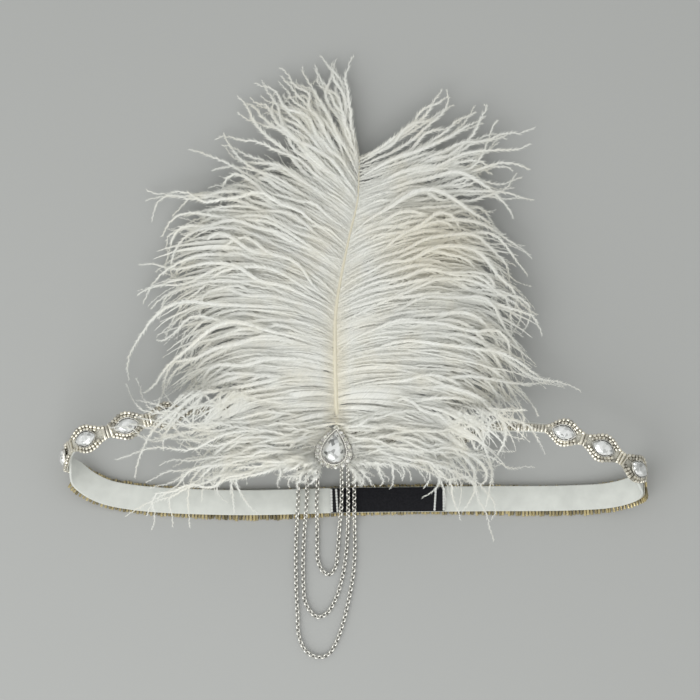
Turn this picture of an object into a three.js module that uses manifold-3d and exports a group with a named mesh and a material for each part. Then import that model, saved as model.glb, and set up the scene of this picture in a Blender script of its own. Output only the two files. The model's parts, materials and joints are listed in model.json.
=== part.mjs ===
// A beaded flapper headband with an ostrich plume, lying on a table as it falls by itself.
// The ribbon loop has collapsed on its side: its back stretch lies flat with the inner face up, and its
// front stretch arches above with the beaded trim and its stones facing up. The plume and the three chain
// swags lie away from it on either side. Millimetres, +Z up, +Y from the band towards the plume's tip,
// and the origin on the table under the middle of the band's back stretch.
import * as THREE from 'three';
import { mergeVertices } from 'three/addons/utils/BufferGeometryUtils.js';
import Module from 'manifold-3d';

const wasm = await Module();
wasm.setup();

// Clearance between pieces that touch
const gap = 0.3;

// Band: the laid loop and its ribbon
const halfSpan = 135;
const loopLean = 43;
const loopLift = 29;
const ribbonWidth = 12;
const ribbonThickness = 1.2;
const labelLength = 54;
const labelWidth = 11.6;
const labelThickness = 1;
const labelShift = 15;

// Beaded trim on the outer face
const backTrimWidth = 14.8;
const backTrimShift = 1;
const backTrimThickness = 1.8;
const frontTrimHeight = 2;
const frontTrimFloor = 0.8;
const frontTrimWide = 14;
const frontTrimJoint = 6.6;
const frontTrimBar = 4;
const beadRowWidth = 3.4;
const stonePitch = 19.5;

// Marquise stones
const stoneLength = 11;
const stoneWidth = 5.4;
const stoneGirdle = 1.2;
const stoneHeight = 3;

// Jewel: a pear stone in a halo setting
const jewelLength = 21;
const jewelWidth = 18.6;
const jewelDrop = 6;
const jewelPlate = 3.2;
const bezelWall = 0.9;
const bezelHeight = 1.5;
const pearLength = 15.4;
const pearWidth = 10.8;
const pearGirdle = 1.8;
const pearHeight = 4.6;
const haloStones = 17;
const haloStoneSize = 2.5;
const haloStoneHeight = 1.3;

// Plume: a shaft with a vane of locks on either side
const shaftFoot = 2.2;
const shaftTip = 0.8;
const plumeLength = 127;
const plumeReach = 105;
const lockWidth = 18;
const lockThickness = 7;
const lockTip = 0.1;
const vaneRoot = 3;
const lowLocks = 2;

// Chain swags
const chainWidth = 2.4;

// Sides of the round pieces
const shaftSides = 8;
const chainSides = 8;
const marquiseCorners = 12;
const pearCorners = 16;
const haloStoneSides = 8;

// The band's middle line, as shares of halfSpan, loopLean and loopLift, from the back's middle to the right,
// over the right-hand end, along the front to the left, and back round the left-hand end.
const bandTable = [
  { x: 0, y: 0, z: 0 },
  { x: 0.435, y: 0.014, z: 0 },
  { x: 0.754, y: 0.023, z: 0 },
  { x: 0.899, y: 0.056, z: 0.072 },
  { x: 0.978, y: 0.135, z: 0.269 },
  { x: 1, y: 0.233, z: 0.562 },
  { x: 0.961, y: 0.384, z: 0.855 },
  { x: 0.848, y: 0.6, z: 0.993 },
  { x: 0.704, y: 0.772, z: 0.993 },
  { x: 0.543, y: 0.814, z: 0.924 },
  { x: 0.225, y: 0.749, z: 0.786 },
  { x: -0.07, y: 0.735, z: 0.717 },
  { x: -0.228, y: 0.86, z: 0.745 },
  { x: -0.384, y: 0.975, z: 0.814 },
  { x: -0.522, y: 1, z: 0.89 },
  { x: -0.649, y: 0.944, z: 0.952 },
  { x: -0.783, y: 0.844, z: 1.003 },
  { x: -0.906, y: 0.716, z: 0.976 },
  { x: -0.978, y: 0.616, z: 0.786 },
  { x: -1, y: 0.477, z: 0.493 },
  { x: -0.971, y: 0.267, z: 0.2 },
  { x: -0.899, y: 0.112, z: 0.052 },
  { x: -0.783, y: 0.028, z: 0 },
  { x: -0.435, y: -0.028, z: 0 },
];
const jewelRow = 11;

// Runs of stones along the front, in stone pitches from the jewel, positive to the right.
const stoneRuns = [
  { first: -7.18, count: 4 },
  { first: -2.05, count: 2 },
  { first: 1.05, count: 3 },
  { first: 5.54, count: 3 },
];
const trimEnds = { left: -7.75, right: 8.05 };

// The shaft's line beyond its foot, as shares of plumeLength along Y, of plumeLength across X, and of
// the foot's height above the table.
const shaftTable = [
  { along: 0, across: 0, height: 1 },
  { along: 0.1, across: -0.004, height: 1.01 },
  { along: 0.25, across: -0.007, height: 1.03 },
  { along: 0.4, across: -0.006, height: 0.96 },
  { along: 0.52, across: 0.01, height: 0.86 },
  { along: 0.71, across: 0.048, height: 0.67 },
  { along: 0.83, across: 0.075, height: 0.53 },
  { along: 1, across: 0.082, height: 0.33 },
];

// The locks of each vane: at is where one leaves the shaft, as a share of the shaft's length, reach a
// share of plumeReach, lean its mean angle from straight ahead and curl how far it turns on its way, in
// degrees, crest how far it rises before it sinks and tip how high its end stays above the table, as
// shares of the foot's height. The first two of each vane pass over the band and are a piece of their own.
const vaneLocks = {
  left: [
    { at: 0.02, reach: 0.94, lean: 117, curl: 44, crest: 0.42, tip: 0.3 },
    { at: 0.1, reach: 1.03, lean: 103, curl: 50, crest: 0.36, tip: 0.24 },
    { at: 0.2, reach: 1, lean: 96, curl: 54, crest: 0.26, tip: 0 },
    { at: 0.3, reach: 0.93, lean: 90, curl: 56, crest: 0.2, tip: 0 },
    { at: 0.38, reach: 1.06, lean: 84, curl: 52, crest: 0.16, tip: 0 },
    { at: 0.48, reach: 1, lean: 78, curl: 48, crest: 0.14, tip: 0 },
    { at: 0.57, reach: 1.01, lean: 75, curl: 42, crest: 0.12, tip: 0 },
    { at: 0.67, reach: 0.8, lean: 70, curl: 36, crest: 0.12, tip: 0 },
    { at: 0.77, reach: 0.77, lean: 65, curl: 30, crest: 0.1, tip: 0 },
    { at: 0.87, reach: 0.68, lean: 56, curl: 22, crest: 0.1, tip: 0 },
    { at: 0.95, reach: 0.58, lean: 38, curl: 14, crest: 0.08, tip: 0 },
    { at: 1, reach: 0.5, lean: 8, curl: -10, crest: 0.08, tip: 0 },
  ],
  right: [
    { at: 0.02, reach: 0.93, lean: 114, curl: 44, crest: 0.42, tip: 0.3 },
    { at: 0.1, reach: 1.04, lean: 99, curl: 48, crest: 0.36, tip: 0.24 },
    { at: 0.2, reach: 1.06, lean: 96, curl: 52, crest: 0.26, tip: 0 },
    { at: 0.3, reach: 1, lean: 91, curl: 54, crest: 0.2, tip: 0 },
    { at: 0.38, reach: 0.97, lean: 88, curl: 52, crest: 0.16, tip: 0 },
    { at: 0.48, reach: 0.94, lean: 86, curl: 50, crest: 0.14, tip: 0 },
    { at: 0.57, reach: 0.93, lean: 80, curl: 44, crest: 0.12, tip: 0 },
    { at: 0.67, reach: 0.85, lean: 78, curl: 40, crest: 0.12, tip: 0 },
    { at: 0.77, reach: 0.8, lean: 77, curl: 34, crest: 0.1, tip: 0 },
    { at: 0.87, reach: 0.72, lean: 69, curl: 18, crest: 0.1, tip: 0 },
    { at: 0.95, reach: 0.6, lean: 52, curl: 4, crest: 0.08, tip: 0 },
  ],
};

// The swags' routes over the table from left to right, [x, y, z]. Their ends hang from the ribbon's lower
// edge at the stations given, in millimetres from the jewel, positive to the right.
const swags = {
  chain_inner: {
    from: -8.5,
    to: 3,
    route: [
      [-18.4, 18, 14],
      [-18.2, 8, 6.5],
      [-18.6, 0, 6.5],
      [-18.6, -6, 6.5],
      [-18.4, -14, 1.5],
      [-18.4, -22, 1.5],
      [-18, -29, 1.5],
      [-15.6, -34, 1.5],
      [-12.6, -35.4, 1.5],
      [-9.8, -32, 1.5],
      [-8.8, -25, 1.5],
      [-8, -14.5, 1.5],
      [-7.2, -6.5, 6.5],
      [-6.8, 1, 6.5],
      [-6.8, 8, 6.5],
      [-6.9, 17, 14],
    ],
  },
  chain_middle: {
    from: -14.5,
    to: 6.4,
    route: [
      [-23.6, 18, 14],
      [-23.2, 8, 6.5],
      [-23.3, 0, 6.5],
      [-23.8, -6, 6.5],
      [-24.4, -14, 1.5],
      [-25, -26, 1.5],
      [-25, -38, 1.5],
      [-24.2, -48, 1.5],
      [-21.6, -53, 1.5],
      [-18, -55.6, 1.5],
      [-14, -54, 1.5],
      [-10.6, -49, 1.5],
      [-7.6, -41, 1.5],
      [-5.6, -32, 1.5],
      [-4.4, -22, 1.5],
      [-4, -14, 1.5],
      [-3.8, -6, 6.5],
      [-3.7, 0, 6.5],
      [-3.8, 8, 6.5],
      [-3.8, 17, 14],
    ],
  },
  chain_outer: {
    from: -19.5,
    to: 9.8,
    route: [
      [-27.6, 19, 15],
      [-27.4, 8, 6.5],
      [-27.5, 0, 6.5],
      [-27.8, -6, 6.5],
      [-28.2, -14, 1.5],
      [-28.6, -26, 1.5],
      [-28.4, -40, 1.5],
      [-27.8, -54, 1.5],
      [-27, -65, 1.5],
      [-23.6, -72, 1.5],
      [-18.4, -74.6, 1.5],
      [-13.4, -73.6, 1.5],
      [-9.4, -67.6, 1.5],
      [-6, -58, 1.5],
      [-3.4, -47, 1.5],
      [-1.4, -36, 1.5],
      [-0.6, -24, 1.5],
      [-0.7, -14, 1.5],
      [-0.8, -6, 6.5],
      [-0.8, 0, 6.5],
      [-0.8, 8, 6.5],
      [-0.8, 17, 14],
    ],
  },
};

// Height of the ribbon's middle where the back trim lies flat on the table.
const restHeight = backTrimThickness + gap + ribbonThickness / 2;

const loopPoints = bandTable.map(
  ({ x, y, z }) => new THREE.Vector3(x * halfSpan, y * loopLean, restHeight + z * loopLift),
);
const samplesPerRow = 100;
const loop = new THREE.CatmullRomCurve3(loopPoints, true, 'centripetal');
loop.arcLengthDivisions = loopPoints.length * samplesPerRow;
const loopLengths = loop.getLengths();
const loopLength = loopLengths[loopLengths.length - 1];
const jewelStation = loopLengths[jewelRow * samplesPerRow];

// A point of the loop, this far along it from the back's middle, never lower than the flat back stretch.
function loopPoint(along) {
  const point = loop.getPointAt(THREE.MathUtils.euclideanModulo(along, loopLength) / loopLength);
  point.z = Math.max(point.z, restHeight);
  return point;
}

// The ribbon's frame there: ahead runs along it, across its width towards +Y, and out of its outer face.
// The direction is taken over a short stretch, because a ribbon turns over gradually.
function loopFrame(along) {
  const step = 5;
  const ahead = loopPoint(along + step).sub(loopPoint(along - step)).normalize();
  const across = new THREE.Vector3(0, 1, 0).addScaledVector(ahead, -ahead.y).normalize();
  const out = new THREE.Vector3().crossVectors(across, ahead);
  return { point: loopPoint(along), ahead, across, out };
}

// The same, by distance from the jewel, positive to the right.
const frontFrame = (station) => loopFrame(jewelStation - station);

const onFrame = ({ point, across, out }, [a, b]) =>
  point.clone().addScaledVector(across, a).addScaledVector(out, b);

// Reverses a geometry's triangles if its volume comes out negative.
function facingOut(geometry) {
  const position = geometry.getAttribute('position');
  const index = geometry.index.array;
  const corner = (i) => new THREE.Vector3().fromBufferAttribute(position, index[i]);
  let volume = 0;
  for (let i = 0; i < index.length; i += 3) {
    volume += corner(i).dot(corner(i + 1).cross(corner(i + 2)));
  }
  if (volume < 0) index.reverse();
  return geometry;
}

// A solid through rings of points, each ring the same outline, closed on itself or capped at both ends.
function loft(rings, outline, closed = false) {
  const size = outline.length;
  const vertices = rings.flat().flatMap((p) => p.toArray());
  const index = [];
  const spans = closed ? rings.length : rings.length - 1;
  for (let r = 0; r < spans; r += 1) {
    for (let k = 0; k < size; k += 1) {
      const [a, b] = [r * size + k, r * size + ((k + 1) % size)];
      const next = ((r + 1) % rings.length) * size - r * size;
      index.push(a, b, b + next, a, b + next, a + next);
    }
  }
  if (!closed) {
    const flat = outline.map((p) => new THREE.Vector2(...p));
    const turned = THREE.ShapeUtils.isClockWise(flat);
    const far = (rings.length - 1) * size;
    THREE.ShapeUtils.triangulateShape(flat, []).forEach(([a, b, c]) => {
      const [m, n] = turned ? [c, b] : [b, c];
      index.push(a, n, m, far + a, far + m, far + n);
    });
  }
  const geometry = new THREE.BufferGeometry();
  geometry.setAttribute('position', new THREE.Float32BufferAttribute(vertices, 3));
  geometry.setIndex(index);
  return facingOut(geometry);
}

// The places round the loop where every piece of the band has its rings: close together under the front's
// bead outlines, and further apart along the rest.
const frontRight = trimEnds.right * stonePitch;
const frontLeft = trimEnds.left * stonePitch;
const bendStep = stonePitch / 7;
const flatStep = 24;
const flatReach = 0.76 * halfSpan;
const spread = (from, to, step) => {
  const count = Math.round((to - from) / step);
  return Array.from({ length: count }, (_, i) => from + ((to - from) * i) / count);
};
const bandPlaces = [
  ...spread(flatReach, jewelStation - frontRight, bendStep),
  ...spread(jewelStation - frontRight, jewelStation - frontLeft, bendStep),
  ...spread(jewelStation - frontLeft, loopLength - flatReach, bendStep),
  ...spread(loopLength - flatReach, loopLength + flatReach, flatStep),
];

// An outline set across the band at one place, with nothing of it below the table.
const bandRing = (place, outline) => {
  const frame = loopFrame(place);
  return outline.map((p) => onFrame(frame, p)).map((q) => q.setZ(Math.max(q.z, 0)));
};

// A piece that follows the band between two places along the loop, with its outline given at each.
function alongLoop(from, to, outlineAt) {
  const around = [...bandPlaces, ...bandPlaces.map((place) => place + loopLength)];
  const within = around.filter((place) => place > from + gap && place < to - gap);
  const rings = [from, ...within, to].map((place) => bandRing(place, outlineAt(place)));
  return loft(rings, outlineAt(from));
}

const slab = (halfWidth, low, high, shift = 0) => [
  [shift - halfWidth, low],
  [shift + halfWidth, low],
  [shift + halfWidth, high],
  [shift - halfWidth, high],
];

// A closed geometry as a manifold-3d solid, and back.
function toSolid(geometry) {
  const bare = new THREE.BufferGeometry();
  bare.setAttribute('position', geometry.getAttribute('position').clone());
  bare.setIndex(geometry.index ? geometry.index.clone() : null);
  const merged = mergeVertices(bare, 1e-4);
  const vertProperties = new Float32Array(merged.getAttribute('position').array);
  const triVerts = new Uint32Array(merged.index.array);
  return new wasm.Manifold(new wasm.Mesh({ numProp: 3, vertProperties, triVerts }));
}

function toGeometry(solid) {
  const { numProp, numVert, vertProperties, triVerts } = solid.getMesh();
  const vertices = new Float32Array(numVert * 3);
  for (let i = 0; i < numVert; i += 1) {
    vertices.set(vertProperties.subarray(i * numProp, i * numProp + 3), i * 3);
  }
  const geometry = new THREE.BufferGeometry();
  geometry.setAttribute('position', new THREE.BufferAttribute(vertices, 3));
  geometry.setIndex(new THREE.BufferAttribute(new Uint32Array(triVerts), 1));
  return geometry;
}

const joined = (solids) => solids.reduce((all, solid) => all.add(solid));

const finishes = {
  satin: new THREE.MeshStandardMaterial({ color: 0xe9ebe6, roughness: 0.5, metalness: 0 }),
  label: new THREE.MeshStandardMaterial({ color: 0x101012, roughness: 0.7, metalness: 0 }),
  beads: new THREE.MeshStandardMaterial({ color: 0xc9c2a8, roughness: 0.25, metalness: 0.6 }),
  crystal: new THREE.MeshStandardMaterial({ color: 0xf2f4f5, roughness: 0.05, metalness: 0.1 }),
  silver: new THREE.MeshStandardMaterial({ color: 0xc8c8c6, roughness: 0.25, metalness: 1 }),
  quill: new THREE.MeshStandardMaterial({ color: 0xe6ddc6, roughness: 0.6, metalness: 0 }),
  down: new THREE.MeshStandardMaterial({ color: 0xf1efe8, roughness: 0.9, metalness: 0 }),
};

function piece(name, geometry, finish) {
  geometry.computeVertexNormals();
  const mesh = new THREE.Mesh(geometry, finish);
  mesh.name = name;
  return mesh;
}

// Turns and moves a mesh so that its own X runs to the right along the band, Y across it and Z out of it.
function seat(mesh, { point, ahead, across, out }) {
  const right = ahead.clone().negate();
  mesh.quaternion.setFromRotationMatrix(new THREE.Matrix4().makeBasis(right, across, out));
  mesh.position.copy(point);
  return mesh;
}

// The same for a bare geometry.
function seatedGeometry(geometry, frame) {
  const mesh = seat(new THREE.Mesh(geometry), frame);
  mesh.updateMatrix();
  return geometry.applyMatrix4(mesh.matrix);
}

function ribbon() {
  const outline = slab(ribbonWidth / 2, -ribbonThickness / 2, ribbonThickness / 2);
  const rings = bandPlaces.map((place) => bandRing(place, outline));
  return piece('ribbon', loft(rings, outline, true), finishes.satin);
}

function label() {
  const under = -ribbonThickness / 2 - gap;
  const outline = slab(labelWidth / 2, under - labelThickness, under);
  const middle = labelShift + loopLength;
  return piece(
    'label',
    alongLoop(middle - labelLength / 2, middle + labelLength / 2, () => outline),
    finishes.label,
  );
}

const trimSeat = ribbonThickness / 2 + gap;
const trimTop = trimSeat + frontTrimHeight;
const stoneStations = stoneRuns.flatMap(({ first, count }) =>
  Array.from({ length: count }, (_, i) => (first + i) * stonePitch),
);

// How far a place on the front belongs to a stone's bead outline: 1 at a stone, 0 half a pitch away.
function motifShare(station) {
  const nearest = Math.min(...stoneStations.map((s) => Math.abs(s - station)));
  return nearest < stonePitch / 2 ? Math.cos((Math.PI * nearest) / stonePitch) ** 2 : 0;
}

// Between two stones of one run the outline narrows to the joint, and elsewhere to the plain bar.
function trimHalfWidth(station) {
  const near = stoneStations.filter((s) => Math.abs(s - station) < stonePitch * 1.01);
  const between = near.some((s) => s <= station) && near.some((s) => s >= station);
  const inRun = near.length > 1 && between ? frontTrimJoint : frontTrimBar;
  return THREE.MathUtils.lerp(inRun, frontTrimWide, motifShare(station)) / 2;
}

// A channel with a raised double row of beads on either side of the stones, nearly closed at the bars.
function frontTrimOutline(station) {
  const share = motifShare(station);
  const outer = trimHalfWidth(station);
  const leastChannel = 0.6;
  const barGroove = 0.2;
  const inner = Math.max(outer - beadRowWidth, leastChannel);
  const floor = trimSeat + THREE.MathUtils.lerp(frontTrimHeight - barGroove, frontTrimFloor, share ** 0.5);
  return [
    [outer, trimSeat],
    [-outer, trimSeat],
    [-outer, trimTop],
    [-inner, trimTop],
    [-inner, floor],
    [inner, floor],
    [inner, trimTop],
    [outer, trimTop],
  ];
}

function frontTrim() {
  const outlineAt = (place) => frontTrimOutline(jewelStation - place);
  const geometry = alongLoop(jewelStation - frontRight, jewelStation - frontLeft, outlineAt);
  return piece('trim_front', geometry, finishes.beads);
}

function backTrim() {
  const outline = slab(backTrimWidth / 2, trimSeat + backTrimThickness, trimSeat, -backTrimShift);
  const from = jewelStation - frontLeft + gap;
  const to = jewelStation - frontRight - gap + loopLength;
  return piece('trim_back', alongLoop(from, to, () => outline), finishes.beads);
}

// A cut stone on its own axes: a flat back, a girdle, and crown tiers up to the table. Each tier is a
// height and a share of the girdle's outline.
function cutStone(outline, tiers) {
  const rings = tiers.map(({ height, share }) =>
    outline.map(([x, y]) => new THREE.Vector3(x * share, y * share, height)),
  );
  return loft(rings, outline);
}

// Pointed oval: the half width falls from the middle to the tips as one minus the square of the length.
function marquise(length, width, corners) {
  return Array.from({ length: corners }, (_, i) => {
    const turn = (2 * Math.PI * i) / corners;
    const x = Math.cos(turn);
    return [(x * length) / 2, (Math.sign(Math.sin(turn)) * (1 - x * x) * width) / 2];
  });
}

function marquiseStones() {
  const outline = marquise(stoneLength, stoneWidth, marquiseCorners);
  const tiers = [
    { height: 0, share: 0.82 },
    { height: stoneGirdle, share: 1 },
    { height: stoneHeight, share: 0.56 },
  ];
  const base = trimSeat + frontTrimFloor + gap;
  return stoneStations.map((station, i) => {
    const name = `marquise_${String(i + 1).padStart(2, '0')}`;
    const frame = frontFrame(station);
    frame.point = onFrame(frame, [0, base]);
    return seat(piece(name, cutStone(outline, tiers), finishes.crystal), frame);
  });
}

// Teardrop outline, its point towards +Y: x follows sin(turn) * sin(turn / 2), and y cos(turn).
function teardrop(length, width, corners) {
  const widest = 0.77;
  return Array.from({ length: corners }, (_, i) => {
    const turn = (2 * Math.PI * i) / corners;
    const x = (Math.sin(turn) * Math.sin(turn / 2)) / widest;
    return [(-x * width) / 2, (Math.cos(turn) * length) / 2];
  });
}

const jewelSeat = trimTop + gap;
const jewelFrame = (height) => {
  const frame = frontFrame(0);
  frame.point = onFrame(frame, [-jewelDrop, height]);
  return frame;
};

const extruded = (outline, depth, holes = []) => {
  const shape = new THREE.Shape(outline.map((p) => new THREE.Vector2(...p)));
  shape.holes = holes.map((hole) => new THREE.Path(hole.map((p) => new THREE.Vector2(...p))));
  return new THREE.ExtrudeGeometry(shape, { depth, bevelEnabled: false });
};

// The setting: a pear plate with a bezel round the stone's seat, small round stones set in a halo, and a
// groove under it for the shaft's foot.
function jewelSetting(shaftLine) {
  const corners = 24;
  const plate = toSolid(extruded(teardrop(jewelLength, jewelWidth, corners), jewelPlate));
  const inside = teardrop(pearLength + 2 * gap, pearWidth + 2 * gap, corners);
  const around = teardrop(pearLength + 2 * (gap + bezelWall), pearWidth + 2 * (gap + bezelWall), corners);
  const bezel = toSolid(extruded(around, jewelPlate + bezelHeight, [inside]));
  const middle = teardrop(
    (jewelLength + pearLength) / 2 + bezelWall,
    (jewelWidth + pearWidth) / 2 + bezelWall,
    haloStones,
  );
  const sunk = 0.1;
  const [table, girdle] = [haloStoneSize / 4, haloStoneSize / 2];
  const halo = middle.map(([x, y]) => {
    const stone = new THREE.CylinderGeometry(table, girdle, haloStoneHeight, haloStoneSides);
    stone.rotateX(Math.PI / 2).translate(x, y, jewelPlate + haloStoneHeight / 2 - sunk);
    return toSolid(stone);
  });
  const placed = seatedGeometry(toGeometry(joined([plate, bezel, ...halo])), jewelFrame(jewelSeat));
  const grooved = toSolid(placed).subtract(toSolid(shaftTube(shaftLine, gap)));
  return piece('jewel_setting', toGeometry(grooved), finishes.silver);
}

function pearStone() {
  const outline = teardrop(pearLength, pearWidth, pearCorners);
  const tiers = [
    { height: 0, share: 0.7 },
    { height: pearGirdle, share: 1 },
    { height: (pearGirdle + pearHeight) / 2, share: 0.85 },
    { height: pearHeight, share: 0.55 },
  ];
  const mesh = piece('pear_stone', cutStone(outline, tiers), finishes.crystal);
  return seat(mesh, jewelFrame(jewelSeat + jewelPlate + gap));
}

// The shaft's line: a foot on the trim under the jewel, then the table's points out to its tip.
function shaftCurve() {
  const foot = frontFrame(0);
  const footLift = trimTop + gap + shaftFoot / 2;
  const start = onFrame(foot, [-jewelDrop, footLift]);
  const lead = onFrame(foot, [jewelLength / 2 - jewelDrop, footLift]);
  const beyond = shaftTable.map(
    ({ along, across, height }) =>
      new THREE.Vector3(lead.x + across * plumeLength, lead.y + along * plumeLength, lead.z * height),
  );
  return new THREE.CatmullRomCurve3([start, ...beyond], false, 'centripetal');
}

// A round tube along the shaft's line that tapers from foot to tip, thicker all round by the margin.
function shaftTube(curve, margin = 0) {
  const steps = 16;
  const circle = Array.from({ length: shaftSides }, (_, k) => {
    const turn = (2 * Math.PI * (k + 0.5)) / shaftSides;
    return [Math.cos(turn), Math.sin(turn)];
  });
  const rings = Array.from({ length: steps + 1 }, (_, i) => {
    const at = i / steps;
    const point = curve.getPointAt(at);
    const ahead = curve.getTangentAt(at);
    const across = new THREE.Vector3(1, 0, 0).addScaledVector(ahead, -ahead.x).normalize();
    const out = new THREE.Vector3().crossVectors(across, ahead);
    const radius = THREE.MathUtils.lerp(shaftFoot, shaftTip, at) / 2 + margin;
    if (margin && (i === 0 || i === steps)) point.addScaledVector(ahead, i ? margin : -margin);
    return circle.map(([a, b]) => onFrame({ point, across, out }, [a * radius, b * radius]));
  });
  return loft(rings, circle);
}

// Where a share of the shaft's length beyond the jewel lies on its line.
const beyondJewel = (curve, at) => {
  const lead = jewelLength / 2 / curve.getLength();
  return curve.getPointAt(lead + (1 - lead) * at);
};

// One lock's middle line: it leaves the shaft at its lean less half its curl and turns evenly by the
// curl. Its height falls from the shaft to the tip with the 1.6th power of the way, over a crest that
// follows a half sine.
function lockLine(curve, way, { at, reach, lean, curl, crest, tip }) {
  const root = beyondJewel(curve, at);
  const footHeight = beyondJewel(curve, 0).z;
  const tipHeight = tip * footHeight + (lockThickness / 2) * lockTip;
  const steps = 7;
  const points = [root.clone()];
  for (let i = 1; i <= steps; i += 1) {
    const angle = THREE.MathUtils.degToRad(lean + curl * ((i - 0.5) / steps - 0.5));
    const next = points[i - 1].clone();
    next.x += (way * Math.sin(angle) * reach * plumeReach) / steps;
    next.y += (Math.cos(angle) * reach * plumeReach) / steps;
    const fall = THREE.MathUtils.lerp(root.z, tipHeight, (i / steps) ** 1.6);
    next.z = fall + crest * footHeight * Math.sin((Math.PI * i) / steps);
    points.push(next);
  }
  return points;
}

// A lock: a flattened strip round its middle line, full near the shaft and tapering to a thin tip.
function lock(points) {
  const steps = points.length - 1;
  const fullAt = 0.55;
  const rootShare = 0.6;
  const diamond = [[1, 0], [0, 1], [-1, 0], [0, -1]];
  const rings = points.map((point, i) => {
    const v = i / steps;
    const ahead = points[Math.min(i + 1, steps)].clone().sub(points[Math.max(i - 1, 0)]).normalize();
    const across = new THREE.Vector3(-ahead.y, ahead.x, 0).normalize();
    const out = new THREE.Vector3().crossVectors(ahead, across);
    const beyond = Math.max(0, (v - fullAt) / (1 - fullAt));
    const growing = THREE.MathUtils.lerp(rootShare, 1, Math.min(1, v / fullAt));
    const fullness = growing * THREE.MathUtils.lerp(1, lockTip, beyond ** 1.4);
    const [half, deep] = [(lockWidth / 2) * fullness, (lockThickness / 2) * fullness];
    return diamond.map(([a, b]) => onFrame({ point, across, out }, [a * half, b * deep]));
  });
  return loft(rings, diamond);
}

// The room that the band, its stones, the jewel and what is under the table take, with the gap round it.
function keptClear(curve) {
  const high = trimSeat + frontTrimFloor + gap + stoneHeight + gap;
  const halfWidth = Math.max(frontTrimWide, ribbonWidth) / 2 + gap;
  const section = slab(halfWidth, -ribbonThickness / 2 - gap, high);
  const band = alongLoop(jewelStation - frontRight, jewelStation - frontLeft, () => section);
  const tableDepth = 40;
  const table = new THREE.BoxGeometry(4 * plumeReach, 4 * plumeLength, tableDepth);
  const outline = teardrop(jewelLength + 2 * gap, jewelWidth + 2 * gap, pearCorners);
  const jewel = seatedGeometry(extruded(outline, plumeReach), jewelFrame(0));
  return joined([band, table.translate(0, 0, -tableDepth / 2), jewel].map(toSolid));
}

// A wall along the shaft's line and on past its tip, which parts the two vanes.
function partingWall(curve) {
  const steps = 10;
  const outline = slab(1, -plumeReach, plumeReach);
  const rings = Array.from({ length: steps + 2 }, (_, i) => {
    const at = Math.min(1, i / steps);
    const point = curve.getPointAt(at);
    if (i > steps) point.addScaledVector(curve.getTangentAt(1).setZ(0), plumeReach);
    const half = THREE.MathUtils.lerp(shaftFoot, shaftTip, at) / 2 + gap;
    return outline.map(([a, b]) => new THREE.Vector3(point.x + a * half, point.y, b));
  });
  rings.unshift(rings[0].map((p) => p.clone().setY(-plumeLength)));
  return toSolid(loft(rings, outline));
}

// A wall midway between the lines of the last of the low locks and the next one, drawn on past both ends.
function lowWall(curve, way, rows) {
  const [low, next] = [rows[lowLocks - 1], rows[lowLocks]].map((row) => lockLine(curve, way, row));
  const line = low.map((point, i) => point.clone().lerp(next[i], 0.5));
  const beyond = (end, before) => end.clone().multiplyScalar(2).sub(before);
  line.unshift(beyond(line[0], line[1]));
  line.push(beyond(line.at(-1), line.at(-2)));
  const outline = slab(gap / 2, -plumeReach, plumeReach);
  const rings = line.map((point, i) => {
    const ahead = line[Math.min(i + 1, line.length - 1)].clone().sub(line[Math.max(i - 1, 0)]);
    const across = new THREE.Vector3(ahead.y, -ahead.x, 0).normalize();
    return outline.map(([a, b]) => point.clone().setZ(b).addScaledVector(across, a));
  });
  return toSolid(loft(rings, outline));
}

// A vane: its locks fused to a thin root strip beside the shaft, cut where the band, the shaft and the
// table lie, and parted into its low locks and the rest.
function vane(side, curve, clear) {
  const way = side === 'left' ? -1 : 1;
  const locks = vaneLocks[side].map((row) => toSolid(lock(lockLine(curve, way, row))));
  const rootSteps = 8;
  const square = [[1, 1], [-1, 1], [-1, -1], [1, -1]];
  const rings = Array.from({ length: rootSteps + 1 }, (_, i) => {
    const at = 0.01 + (0.98 * i) / rootSteps;
    const point = beyondJewel(curve, at);
    const wide = vaneRoot * (1 - 0.5 * at);
    point.x += way * (THREE.MathUtils.lerp(shaftFoot, shaftTip, at) / 2 + wide / 2);
    const corner = ([a, b]) => new THREE.Vector3((a * wide) / 2, 0, (b * wide) / 2).add(point);
    return square.map(corner);
  });
  const [rest, low] = joined([toSolid(loft(rings, square)), ...locks])
    .subtract(clear)
    .subtract(partingWall(curve))
    .subtract(lowWall(curve, way, vaneLocks[side]))
    .decompose()
    .sort((one, other) => other.volume() - one.volume());
  return [
    piece(`vane_${side}`, toGeometry(rest), finishes.down),
    piece(`vane_${side}_low`, toGeometry(low), finishes.down),
  ];
}

// A swag's line: straight out of the ribbon's lower edge, over its route, and straight back into the edge.
function swagCurve({ from, to, route }) {
  const straight = 2;
  const under = trimSeat - gap - chainWidth / 2;
  const edge = (station, beyond) => onFrame(frontFrame(station), [-ribbonWidth / 2 - gap - beyond, under]);
  const middle = route.map((p) => new THREE.Vector3(...p));
  const points = [edge(from, 0), edge(from, straight), ...middle, edge(to, straight), edge(to, 0)];
  return new THREE.CatmullRomCurve3(points, false, 'centripetal');
}

function chains() {
  const circle = new THREE.Shape(
    Array.from({ length: chainSides }, (_, k) => {
      const turn = (2 * Math.PI * (k + 0.5)) / chainSides;
      return new THREE.Vector2(Math.cos(turn), Math.sin(turn)).multiplyScalar(chainWidth / 2);
    }),
  );
  const stepLength = 3 * chainWidth;
  return Object.entries(swags).map(([name, swag]) => {
    const extrudePath = swagCurve(swag);
    const steps = Math.round(extrudePath.getLength() / stepLength);
    const geometry = new THREE.ExtrudeGeometry(circle, { steps, extrudePath, bevelEnabled: false });
    return piece(name, geometry, finishes.silver);
  });
}

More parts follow.
